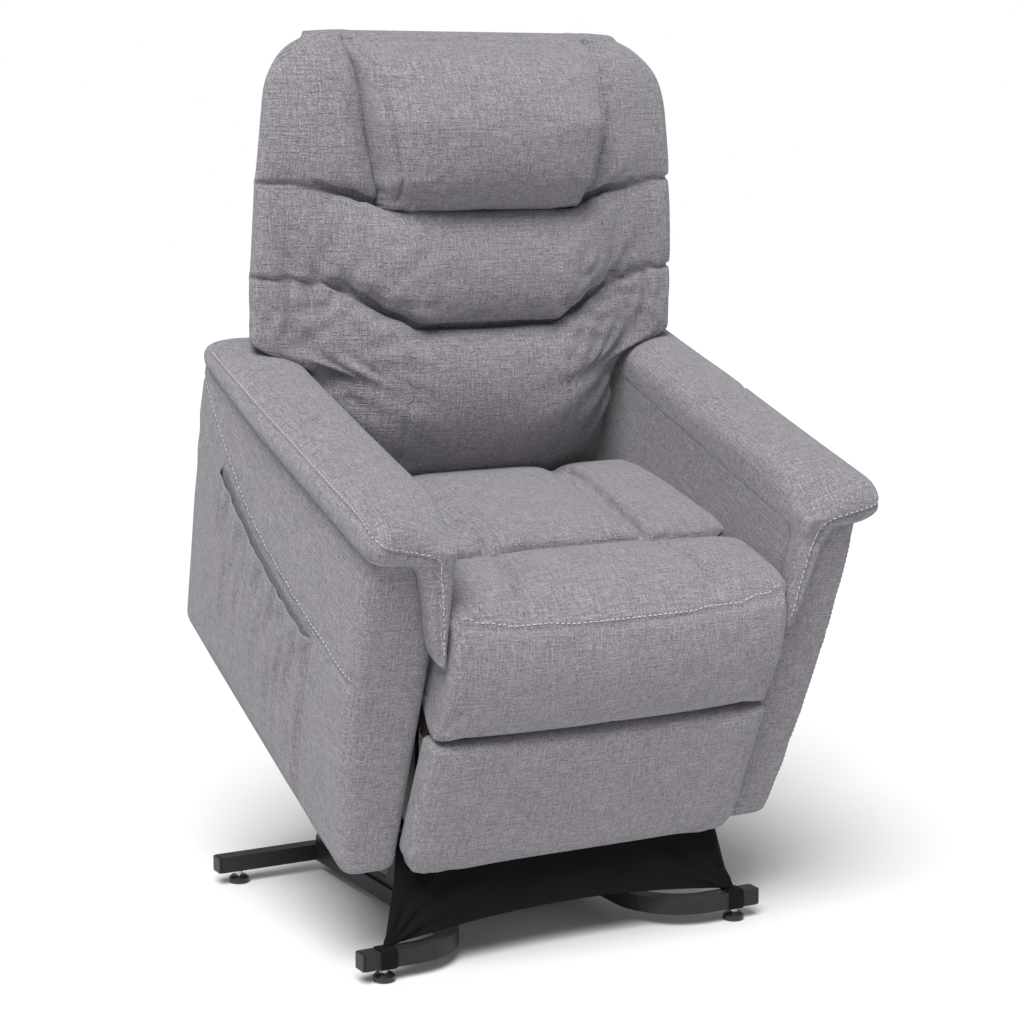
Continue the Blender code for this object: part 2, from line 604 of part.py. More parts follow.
# ---------------------------------------------------------------- assembly
build_base()
build_lift()
build_lift_drive()
build_chassis()
build_seat()
build_side_covers()
for side_name, sign in SIDES:
    build_arm_body(side_name, sign)
    build_arm_cap(side_name, sign)
build_back()
build_footrest()
build_skirt()
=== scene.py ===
"""Lift recliner chair: upholstery, finishes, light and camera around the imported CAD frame.

Two design frames carry the soft pieces, both taken from the CAD's joints: the chair as it sits
when lowered (X across, Y to the rear, Z up), and the back, whose Z runs up along its slope.
"""
import json
import math

import bmesh
import bpy
import numpy as np
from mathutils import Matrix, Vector
from mathutils.bvhtree import BVHTree
from mathutils.kdtree import KDTree


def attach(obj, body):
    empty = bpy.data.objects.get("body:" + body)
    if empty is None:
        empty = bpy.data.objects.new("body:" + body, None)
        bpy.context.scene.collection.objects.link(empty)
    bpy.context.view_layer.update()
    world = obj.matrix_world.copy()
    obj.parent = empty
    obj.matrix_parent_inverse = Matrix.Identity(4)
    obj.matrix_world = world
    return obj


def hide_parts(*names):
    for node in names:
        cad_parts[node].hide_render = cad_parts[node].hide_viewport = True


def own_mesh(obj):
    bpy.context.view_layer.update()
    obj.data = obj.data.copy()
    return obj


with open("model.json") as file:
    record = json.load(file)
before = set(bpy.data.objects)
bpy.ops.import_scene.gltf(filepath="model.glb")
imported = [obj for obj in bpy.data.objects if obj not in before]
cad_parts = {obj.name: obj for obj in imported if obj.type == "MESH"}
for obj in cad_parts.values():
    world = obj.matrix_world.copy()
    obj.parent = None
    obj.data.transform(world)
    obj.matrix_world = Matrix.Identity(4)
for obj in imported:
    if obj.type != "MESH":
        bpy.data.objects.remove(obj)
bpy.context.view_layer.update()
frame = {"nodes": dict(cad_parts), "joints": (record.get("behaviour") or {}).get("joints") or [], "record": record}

# ---------------------------------------------------------------- dimensions, metres
CHAIR_TILT = 24.4
BACK_SLOPE = 22.0
CHAIR_PIVOT = (-0.2003, 0.105)       # in the lowered chair's own frame
SEAT_HALF = 0.264
ARM_INNER = 0.2675
ARM_LOW, ARM_HIGH = 0.050, 0.550
ARM_REAR = 0.246
BACK_HALF = 0.362
WAIST_HALF = 0.261
STEM_Z = 0.0128                      # the levelling feet are bare steel above this
STITCH = 0.0085                      # pitch of the top stitching
TUBE_Z = 0.0335                      # centre line of the base tubes
POCKET_THICK = 0.0020
SKIRT_THICK = 0.0016
SIDES = (("left", 1.0), ("right", -1.0))


def joint_point(name):
    return next(j["pos_m"] for j in frame["joints"] if j["name"] == name)


STAND_Y = joint_point("lift")[1] - 0.200         # how far back the frame stands


# ---------------------------------------------------------------- frames
class Design:
    """Maps points of a design frame to the world at rest."""

    def __init__(self, joint, tilt, pivot=(0.0, 0.0)):
        self.origin = np.array(joint_point(joint))
        self.cos, self.sin = math.cos(math.radians(tilt)), math.sin(math.radians(tilt))
        self.pivot = pivot

    def world(self, points):
        p = np.atleast_2d(np.asarray(points, dtype=float))
        y, z = p[:, 1] - self.pivot[0], p[:, 2] - self.pivot[1]
        out = np.stack([p[:, 0], y * self.cos - z * self.sin, y * self.sin + z * self.cos], 1)
        out[:, 1:] += self.origin[1:]
        return out

    def local(self, points):
        p = np.atleast_2d(np.asarray(points, dtype=float))
        y, z = p[:, 1] - self.origin[1], p[:, 2] - self.origin[2]
        out = np.stack([p[:, 0], y * self.cos + z * self.sin, z * self.cos - y * self.sin], 1)
        out[:, 1:] += self.pivot
        return out


CHAIR = Design("chair_tilt", CHAIR_TILT, CHAIR_PIVOT)
BACK = Design("back_recline", CHAIR_TILT - BACK_SLOPE)


# ---------------------------------------------------------------- materials
class Nodes:
    """Short hand for building a node tree."""

    def __init__(self, name):
        self.mat = bpy.data.materials.new(name)
        self.mat.use_nodes = True
        self.tree = self.mat.node_tree
        self.shader = self.tree.nodes["Principled BSDF"]

    def add(self, kind, **settings):
        node = self.tree.nodes.new("ShaderNode" + kind)
        for key, value in settings.items():
            setattr(node, key, value)
        return node

    def link(self, out, socket):
        self.tree.links.new(out, socket)

    def coords(self, scale, source="UV"):
        texture = self.add("TexCoord")
        mapping = self.add("Mapping")
        mapping.inputs["Scale"].default_value = scale
        self.link(texture.outputs[source], mapping.inputs["Vector"])
        return mapping.outputs["Vector"]

    def noise(self, scale, detail=2.0, source="UV", rough=0.5, distortion=0.0):
        node = self.add("TexNoise")
        node.inputs["Scale"].default_value = 1.0
        node.inputs["Detail"].default_value = detail
        node.inputs["Roughness"].default_value = rough
        node.inputs["Distortion"].default_value = distortion
        self.link(self.coords(scale, source), node.inputs["Vector"])
        return node.outputs["Fac"]

    def ramp(self, value, low, high, out_low=0.0, out_high=1.0):
        node = self.add("MapRange")
        for key, number in (("From Min", low), ("From Max", high),
                            ("To Min", out_low), ("To Max", out_high)):
            node.inputs[key].default_value = number
        self.link(value, node.inputs["Value"])
        return node.outputs["Result"]

    def math(self, operation, a, b):
        node = self.add("Math", operation=operation)
        for value, socket in ((a, node.inputs[0]), (b, node.inputs[1])):
            if isinstance(value, (int, float)):
                socket.default_value = value
            else:
                self.link(value, socket)
        return node.outputs["Value"]

    def mix(self, factor, a, b, blend="MIX"):
        node = self.add("Mix", data_type="RGBA", blend_type=blend)
        for value, socket in ((factor, node.inputs[0]), (a, node.inputs[6]), (b, node.inputs[7])):
            if isinstance(value, tuple):
                socket.default_value = (*value, 1.0)
            elif isinstance(value, (int, float)):
                socket.default_value = value
            else:
                self.link(value, socket)
        return node.outputs[2]

    def bump(self, height, strength, distance):
        node = self.add("Bump")
        node.inputs["Strength"].default_value = strength
        node.inputs["Distance"].default_value = distance
        self.link(height, node.inputs["Height"])
        self.link(node.outputs["Normal"], self.shader.inputs["Normal"])

    def set(self, **values):
        names = {"metallic": "Metallic", "roughness": "Roughness", "sheen": "Sheen Weight",
                 "sheen_roughness": "Sheen Roughness", "coat": "Coat Weight",
                 "specular": "Specular IOR Level"}
        for key, value in values.items():
            self.shader.inputs[names[key]].default_value = value


def woven_fabric():
    """Heathered grey upholstery: crossed slub yarns, pale flecks and a soft nap."""
    n = Nodes("grey_woven_fabric")
    across = n.noise((80.0, 620.0, 1.0), 3.0, rough=0.6)
    along = n.noise((620.0, 80.0, 1.0), 3.0, rough=0.6)
    slub_across = n.noise((22.0, 330.0, 1.0), 2.0)
    slub_along = n.noise((330.0, 22.0, 1.0), 2.0)
    heather = n.noise((430.0, 470.0, 1.0), 4.0, rough=0.8)
    cloud = n.noise((9.0, 9.0, 1.0), 3.0)
    yarn = n.math("MAXIMUM", n.ramp(across, 0.40, 0.64), n.ramp(along, 0.40, 0.64))
    dark, mid, pale = (0.090, 0.082, 0.098), (0.262, 0.245, 0.272), (0.600, 0.578, 0.606)
    tone = n.mix(yarn, dark, mid)
    tone = n.mix(n.ramp(heather, 0.50, 0.72, 0.0, 0.85), tone, pale)
    lines = n.math("MAXIMUM", n.ramp(slub_across, 0.57, 0.66), n.ramp(slub_along, 0.57, 0.66))
    tone = n.mix(n.math("MULTIPLY", lines, 0.27), tone, (0.075, 0.068, 0.080))
    pale_lines = n.math("MAXIMUM", n.ramp(slub_across, 0.42, 0.34), n.ramp(slub_along, 0.42, 0.34))
    tone = n.mix(n.math("MULTIPLY", pale_lines, 0.12), tone, pale)
    tone = n.mix(n.ramp(cloud, 0.3, 0.7, 0.0, 0.14), tone, (0.27, 0.255, 0.28))
    n.link(tone, n.shader.inputs["Base Color"])
    n.link(n.ramp(yarn, 0.0, 1.0, 0.98, 0.86), n.shader.inputs["Roughness"])
    height = n.math("ADD", yarn, n.math("MULTIPLY", heather, 0.8))
    n.bump(n.math("SUBTRACT", height, n.math("MULTIPLY", lines, 0.7)), 0.75, 0.0012)
    n.set(sheen=0.22, sheen_roughness=0.5, specular=0.2)
    return n.mat


def stretch_cloth():
    n = Nodes("black_stretch_cloth")
    knit = n.noise((900.0, 260.0, 1.0), 2.0)
    cloud = n.noise((14.0, 14.0, 1.0), 3.0)
    tone = n.mix(n.ramp(knit, 0.3, 0.7), (0.002, 0.002, 0.0022), (0.006, 0.006, 0.0064))
    tone = n.mix(n.ramp(cloud, 0.3, 0.7, 0.0, 0.35), tone, (0.008, 0.008, 0.0085))
    n.link(tone, n.shader.inputs["Base Color"])
    n.link(n.ramp(knit, 0.3, 0.7, 0.82, 0.95), n.shader.inputs["Roughness"])
    n.bump(knit, 0.3, 0.0004)
    n.set(sheen=0.02, sheen_roughness=0.5, specular=0.12)
    return n.mat


def powder_coat():
    """Satin black powder coat: orange peel, slightly greyed, with a painted highlight that lightens its sharp
    edges.
    """
    n = Nodes("black_powder_coat")
    peel = n.noise((700.0, 700.0, 700.0), 2.0, "Object")
    dust = n.noise((18.0, 18.0, 18.0), 4.0, "Object", 0.6)
    tone = n.mix(n.ramp(dust, 0.35, 0.75), (0.004, 0.004, 0.0045), (0.010, 0.010, 0.0105))
    # painted highlight: sharp convex edges (high pointiness) are lightened toward grey, as if they caught the
    # light
    geometry = n.add("NewGeometry")
    edge = n.ramp(geometry.outputs["Pointiness"], 0.52, 0.60)
    tone = n.mix(n.math("MULTIPLY", edge, 0.4), tone, (0.040, 0.040, 0.042))
    n.link(tone, n.shader.inputs["Base Color"])
    n.link(n.ramp(dust, 0.3, 0.7, 0.34, 0.50), n.shader.inputs["Roughness"])
    n.bump(peel, 0.12, 0.0003)
    n.set(specular=0.22)
    return n.mat


def plated_steel():
    n = Nodes("zinc_steel")
    grain = n.noise((60.0, 900.0, 60.0), 3.0, "Object")
    bloom = n.noise((45.0, 45.0, 45.0), 3.0, "Object")
    tone = n.mix(n.ramp(bloom, 0.3, 0.7), (0.46, 0.48, 0.52), (0.64, 0.65, 0.66))
    n.link(tone, n.shader.inputs["Base Color"])
    n.link(n.ramp(grain, 0.3, 0.7, 0.26, 0.44), n.shader.inputs["Roughness"])
    n.bump(grain, 0.1, 0.0002)
    n.set(metallic=1.0)
    return n.mat


def plastic(name, tone, rough, grain_strength):
    n = Nodes(name)
    grain = n.noise((1400.0, 1400.0, 1400.0), 2.0, "Object")
    scuff = n.noise((26.0, 26.0, 26.0), 4.0, "Object", 0.65)
    lighter = tuple(min(1.0, c * 1.8) for c in tone)
    n.link(n.mix(n.ramp(scuff, 0.45, 0.8), tone, lighter), n.shader.inputs["Base Color"])
    n.link(n.ramp(scuff, 0.3, 0.7, rough, rough + 0.14), n.shader.inputs["Roughness"])
    n.bump(grain, grain_strength, 0.0003)
    return n.mat


def plywood(name, shade):
    n = Nodes(name)
    grain = n.noise((9.0, 120.0, 160.0), 4.0, "Object", 0.6, 0.6)
    pores = n.noise((60.0, 900.0, 900.0), 2.0, "Object")
    early, late, pore = [tuple(c * shade for c in tone) for tone in (
        (0.42, 0.29, 0.165), (0.63, 0.475, 0.305), (0.27, 0.17, 0.09))]
    tone = n.mix(n.ramp(grain, 0.3, 0.72), early, late)
    tone = n.mix(n.ramp(pores, 0.62, 0.8, 0.0, 0.5), tone, pore)
    n.link(tone, n.shader.inputs["Base Color"])
    n.link(n.ramp(grain, 0.3, 0.7, 0.6, 0.78), n.shader.inputs["Roughness"])
    n.bump(pores, 0.2, 0.0004)
    return n.mat


def thread(name, shade):
    n = Nodes(name)
    twist = n.noise((900.0, 900.0, 900.0), 1.0, "Object")
    low, high = [tuple(c * shade for c in tone) for tone in ((0.46, 0.45, 0.47), (0.64, 0.63, 0.65))]
    tone = n.mix(n.ramp(twist, 0.3, 0.7), low, high)
    n.link(tone, n.shader.inputs["Base Color"])
    n.set(roughness=0.8, sheen=0.2)
    return n.mat


def webbing():
    n = Nodes("deck_webbing")
    weave = n.noise((300.0, 300.0, 300.0), 2.0, "Object")
    n.link(n.mix(n.ramp(weave, 0.3, 0.7), (0.05, 0.05, 0.055), (0.13, 0.13, 0.14)),
           n.shader.inputs["Base Color"])
    n.link(n.ramp(weave, 0.3, 0.7, 0.8, 0.95), n.shader.inputs["Roughness"])
    n.bump(weave, 0.3, 0.0006)
    return n.mat


FABRIC = woven_fabric()
SKIRT_CLOTH = stretch_cloth()
POWDER = powder_coat()
ZINC = plated_steel()
MATTE_PLASTIC = plastic("black_plastic", (0.016, 0.016, 0.017), 0.42, 0.25)
GLOSS_PLASTIC = plastic("gloss_black_plastic", (0.010, 0.010, 0.011), 0.16, 0.04)
PLYWOOD = plywood("plywood", 1.0)
# painted shade: plywood darkened near black, so where the board shows in the gaps beside the upholstery it reads
# as shadow
PLYWOOD_PAINTED_SHADE = plywood("plywood_painted_shade", 0.06)
THREAD = thread("pale_thread", 0.84)
TONAL_THREAD = thread("tonal_thread", 0.46)
WEBBING = webbing()


# ---------------------------------------------------------------- mesh tools
def ease(value, low, high):
    """Smooth step of value from low to high."""
    t = np.clip((value - low) / (high - low), 0.0, 1.0)
    return t * t * (3.0 - 2.0 * t)


def oval_loop(count, power):
    """Points round a boxy oval, evenly spaced: (across -1..1, front 1 .. rear -1)."""
    fine = np.linspace(0.0, 2.0 * math.pi, 1601)
    c, s = np.cos(fine), np.sin(fine)
    x = np.sign(c) * np.abs(c) ** (2.0 / power)
    d = np.sign(s) * np.abs(s) ** (2.0 / power)
    step = np.hypot(np.diff(x), np.diff(d) * 0.22)
    length = np.concatenate([[0.0], np.cumsum(step)])
    at = np.linspace(0.0, length[-1], count + 1)[:-1]
    return np.interp(at, length, x), np.interp(at, length, d)


def ring_mesh(rings):
    """Closed mesh over rings of shape (rows, columns, 3), with flat fans at the two ends."""
    rows, cols = rings.shape[:2]
    verts = rings.reshape(-1, 3).tolist()
    faces = []
    for r in range(rows - 1):
        for c in range(cols):
            d = (c + 1) % cols
            faces.append((r * cols + c, r * cols + d, (r + 1) * cols + d, (r + 1) * cols + c))
    for row, flip in ((0, True), (rows - 1, False)):
        centre = len(verts)
        verts.append(rings[row].mean(axis=0).tolist())
        for c in range(cols):
            a, b = row * cols + c, row * cols + (c + 1) % cols
            faces.append((centre, b, a) if flip else (centre, a, b))
    return verts, faces


def thin_sheet(outer, inner):
    """A closed thin sheet between two grids of points of shape (rows, columns, 3)."""
    rows, columns = outer.shape[:2]
    count = rows * columns
    faces = []
    for r in range(rows - 1):
        for c in range(columns - 1):
            a = r * columns + c
            quad = (a, a + 1, a + columns + 1, a + columns)
            faces.append(quad)
            faces.append(tuple(i + count for i in reversed(quad)))
    rim = list(range(columns))
    rim += [r * columns + columns - 1 for r in range(1, rows)]
    rim += [(rows - 1) * columns + c for c in range(columns - 2, -1, -1)]
    rim += [r * columns for r in range(rows - 2, 0, -1)]
    for a, b in zip(rim, rim[1:] + rim[:1]):
        faces.append((a, a + count, b + count, b))
    return np.vstack([outer.reshape(-1, 3), inner.reshape(-1, 3)]), faces


def make_object(name, verts, faces, material):
    data = bpy.data.meshes.new(name)
    data.from_pydata([tuple(map(float, v)) for v in verts], [], faces)
    mesh = bmesh.new()
    mesh.from_mesh(data)
    bmesh.ops.recalc_face_normals(mesh, faces=mesh.faces)
    mesh.to_mesh(data)
    mesh.free()
    obj = bpy.data.objects.new(name, data)
    bpy.context.scene.collection.objects.link(obj)
    data.materials.append(material)
    return obj


def coords(obj):
    out = np.empty(len(obj.data.vertices) * 3)
    obj.data.vertices.foreach_get("co", out)
    return out.reshape(-1, 3)


def set_coords(obj, points):
    obj.data.vertices.foreach_set("co", np.asarray(points, dtype=np.float32).ravel())
    obj.data.update()


def normals(obj):
    out = np.empty(len(obj.data.vertices) * 3)
    obj.data.vertices.foreach_get("normal", out)
    return out.reshape(-1, 3)


def press(obj, amounts):
    """Move each vertex along its normal."""
    set_coords(obj, coords(obj) + normals(obj) * np.asarray(amounts)[:, None])


def apply_modifiers(obj):
    evaluated = obj.evaluated_get(bpy.context.evaluated_depsgraph_get())
    data = bpy.data.meshes.new_from_object(evaluated)
    obj.modifiers.clear()
    obj.vertex_groups.clear()
    old, obj.data = obj.data, data
    bpy.data.meshes.remove(old)


def inflate(obj, pins, pressure, cap, frames=14):
    """Fill a cover with air against its pinned seams, so that it takes its own wrinkles."""
    before = coords(obj)
    group = obj.vertex_groups.new(name="seams")
    for index, weight in enumerate(np.clip(pins, 0.0, 1.0)):
        if weight > 0.02:
            group.add([index], float(weight), "REPLACE")
    mod = obj.modifiers.new("cloth", "CLOTH")
    cloth = mod.settings
    cloth.quality = 5
    cloth.mass = 0.3
    cloth.tension_stiffness = cloth.compression_stiffness = 14.0
    cloth.shear_stiffness = 6.0
    cloth.bending_stiffness = 0.35
    cloth.use_pressure = True
    cloth.uniform_pressure_force = pressure
    cloth.vertex_group_mass = group.name
    cloth.effector_weights.gravity = 0.0
    mod.collision_settings.use_collision = False
    scene = bpy.context.scene
    for step in range(1, frames + 1):
        scene.frame_set(step)
    evaluated = obj.evaluated_get(bpy.context.evaluated_depsgraph_get())
    after = np.empty(len(evaluated.data.vertices) * 3)
    evaluated.data.vertices.foreach_get("co", after)
    move = after.reshape(-1, 3) - before
    size = np.linalg.norm(move, axis=1, keepdims=True)
    move *= np.minimum(1.0, cap / np.maximum(size, 1e-9))
    obj.modifiers.clear()
    obj.vertex_groups.clear()
    scene.frame_set(1)
    set_coords(obj, before + move)


def box_uv(obj, design):
    """UVs in metres, projected along the nearest axis of the design frame."""
    data = obj.data
    layer = data.uv_layers.new(name="metres") if not data.uv_layers else data.uv_layers[0]
    points = design.local(coords(obj)) if design else coords(obj)
    loops = np.empty(len(data.loops), dtype=np.int32)
    data.loops.foreach_get("vertex_index", loops)
    face_normals = np.empty(len(data.polygons) * 3)
    data.polygons.foreach_get("normal", face_normals)
    face_normals = face_normals.reshape(-1, 3)
    if design:
        face_normals = design.local(face_normals + design.origin) - [0.0, *design.pivot]
    totals = np.empty(len(data.polygons), dtype=np.int32)
    data.polygons.foreach_get("loop_total", totals)
    axis = np.repeat(np.argmax(np.abs(face_normals), axis=1), totals)
    p = points[loops]
    u = np.where(axis == 0, p[:, 1], p[:, 0])
    v = np.where(axis == 2, p[:, 1], p[:, 2])
    layer.data.foreach_set("uv", np.stack([u, v], 1).astype(np.float32).ravel())


def refine(obj):
    """One round of subdivision, so that a seam can be pressed in sharply."""
    mod = obj.modifiers.new("smooth", "SUBSURF")
    mod.levels = mod.render_levels = 1
    apply_modifiers(obj)


def finish_soft(obj, design, body, nodes=()):
    obj.data.shade_smooth()
    box_uv(obj, design)
    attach(obj, body)
    if nodes:
        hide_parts(*nodes)
    return obj


def line_distance(points, line):
    """Distance from points to a polyline, in however many dimensions both have."""
    best = np.full(len(points), 9.0)
    for a, b in zip(line[:-1], line[1:]):
        a, b = np.asarray(a, float), np.asarray(b, float)
        ab = b - a
        t = np.clip(((points - a) @ ab) / (ab @ ab), 0.0, 1.0)
        best = np.minimum(best, np.linalg.norm(points - (a + t[:, None] * ab), axis=1))
    return best


def smooth_line(points, step=0.004):
    """A smooth curve through points, evenly spaced."""
    p = np.asarray(points, float)
    ends = np.vstack([2 * p[0] - p[1], p, 2 * p[-1] - p[-2]])
    out = []
    for i in range(1, len(ends) - 2):
        a, b, c, d = ends[i - 1], ends[i], ends[i + 1], ends[i + 2]
        for t in np.linspace(0, 1, 24, endpoint=False):
            out.append(0.5 * (2 * b + (c - a) * t + (2 * a - 5 * b + 4 * c - d) * t * t +
                              (3 * b - a - 3 * c + d) * t ** 3))
    out = np.array(out + [p[-1]])
    length = np.concatenate([[0], np.cumsum(np.linalg.norm(np.diff(out, axis=0), axis=1))])
    at = np.arange(0.0, length[-1], step)
    return np.stack([np.interp(at, length, out[:, k]) for k in range(out.shape[1])], 1)


def groove(obj, design, line, depth, width):
    """Press a seam into a piece along a line of its design frame."""
    path = design.world(smooth_line(line))
    tree = BVHTree.FromObject(obj, bpy.context.evaluated_depsgraph_get())
    on_surface = np.array([tree.find_nearest(Vector(p))[0] for p in path])
    kd = KDTree(len(on_surface))
    for i, p in enumerate(on_surface):
        kd.insert(Vector(p), i)
    kd.balance()
    points, outward = coords(obj), normals(obj)
    for i, p in enumerate(points):
        distance = kd.find(Vector(p))[2]
        if distance < 3.0 * width:
            points[i] -= outward[i] * depth * math.exp(-(distance / width) ** 2)
    set_coords(obj, points)


def stitch(name, obj, design, line, body, radius=0.00075, material=THREAD):
    """A row of top stitches lying on a piece along a line of its design frame."""
    path = design.world(smooth_line(line, STITCH / 2.0))
    tree = BVHTree.FromObject(obj, bpy.context.evaluated_depsgraph_get())
    hits = [tree.find_nearest(Vector(p)) for p in path]
    verts, faces = [], []
    for i in range(0, len(hits) - 2, 2):
        a, b = hits[i][0], hits[i + 1][0]
        normal = hits[i][1].normalized()
        ahead = (b - a)
        if ahead.length < 1e-5:
            continue
        ahead.normalize()
        side = normal.cross(ahead).normalized()
        start, end = a - ahead * STITCH * 0.05, b + ahead * STITCH * 0.14
        lift = normal * radius * 0.55
        base = len(verts)
        for centre, size in ((start - lift, 0.4), (start + (end - start) * 0.2 + lift, 1.0),
                             (start + (end - start) * 0.8 + lift, 1.0), (end - lift, 0.4)):
            for k in range(6):
                angle = math.pi * k / 3.0
                verts.append(centre + (side * math.cos(angle) + normal * math.sin(angle)) *
                             radius * size)
        for row in range(3):
            for k in range(6):
                m = (k + 1) % 6
                low, high = base + row * 6, base + row * 6 + 6
                faces.append((low + k, low + m, high + m, high + k))
        faces.append(tuple(base + k for k in reversed(range(6))))
        faces.append(tuple(base + 18 + k for k in range(6)))
    piece = make_object(name, verts, faces, material)
    piece.data.shade_smooth()
    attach(piece, body)
    return piece


def wrinkles(points, centre, spread, count, depth, turn=0.0):
    """Gathers that radiate from a point: a share of depth for each 2-D point."""
    d = points - np.asarray(centre)
    radius = np.hypot(d[:, 0], d[:, 1])
    angle = np.arctan2(d[:, 1], d[:, 0]) + turn
    fan = np.cos(angle * count + 2.0 * np.sin(angle * 1.7))
    return depth * fan * np.exp(-(radius / spread) ** 2) * ease(radius, 0.0, spread * 0.35)


# ---------------------------------------------------------------- back
SEAM_LOW = ((0.0, 0.250), (0.112, 0.251), (0.175, 0.284), (0.235, 0.314), (BACK_HALF, 0.325))
SEAM_HIGH = ((0.0, 0.424), (0.165, 0.426), (0.205, 0.444), (0.260, 0.456), (BACK_HALF, 0.459))
TOP_Z = 0.668
PILLOW_LOW, PILLOW_TALL = 0.4330, 0.226


def seam_height(seam, x):
    return np.interp(np.abs(x), [p[0] for p in seam], [p[1] for p in seam])


def wing_depth(z):
    """How far forward the seams of the back's side wings stand, up the slope."""
    return np.interp(z, (0.0, 0.10, 0.22, 0.325, 0.459, 0.56, 0.62, 0.672),
                     (-0.036, -0.070, -0.102, -0.110, -0.110, -0.102, -0.090, -0.060))


def seam_depth(z):
    """The same down the middle, where the padding is full."""
    return np.interp(z, (0.0, 0.034, 0.12, 0.250, 0.426, 0.56, 0.62, 0.672),
                     (-0.088, -0.104, -0.124, -0.134, -0.122, -0.116, -0.100, -0.062))


def back_half(section, t, z_mid):
    """Half width of the back: waist between the arms, wings above them, rounded top corners."""
    if section == 0:
        return WAIST_HALF + (BACK_HALF - WAIST_HALF) * float(ease(t, 0.605, 0.650))
    taper = float(np.interp(z_mid, (0.325, 0.459, 0.58, TOP_Z), (0.0, 0.008, 0.020, 0.036)))
    corner = max(0.0, (z_mid - (TOP_Z - 0.072)) / 0.0735)
    return BACK_HALF - taper - 0.072 * (1.0 - math.sqrt(max(0.0, 1.0 - corner ** 2)))


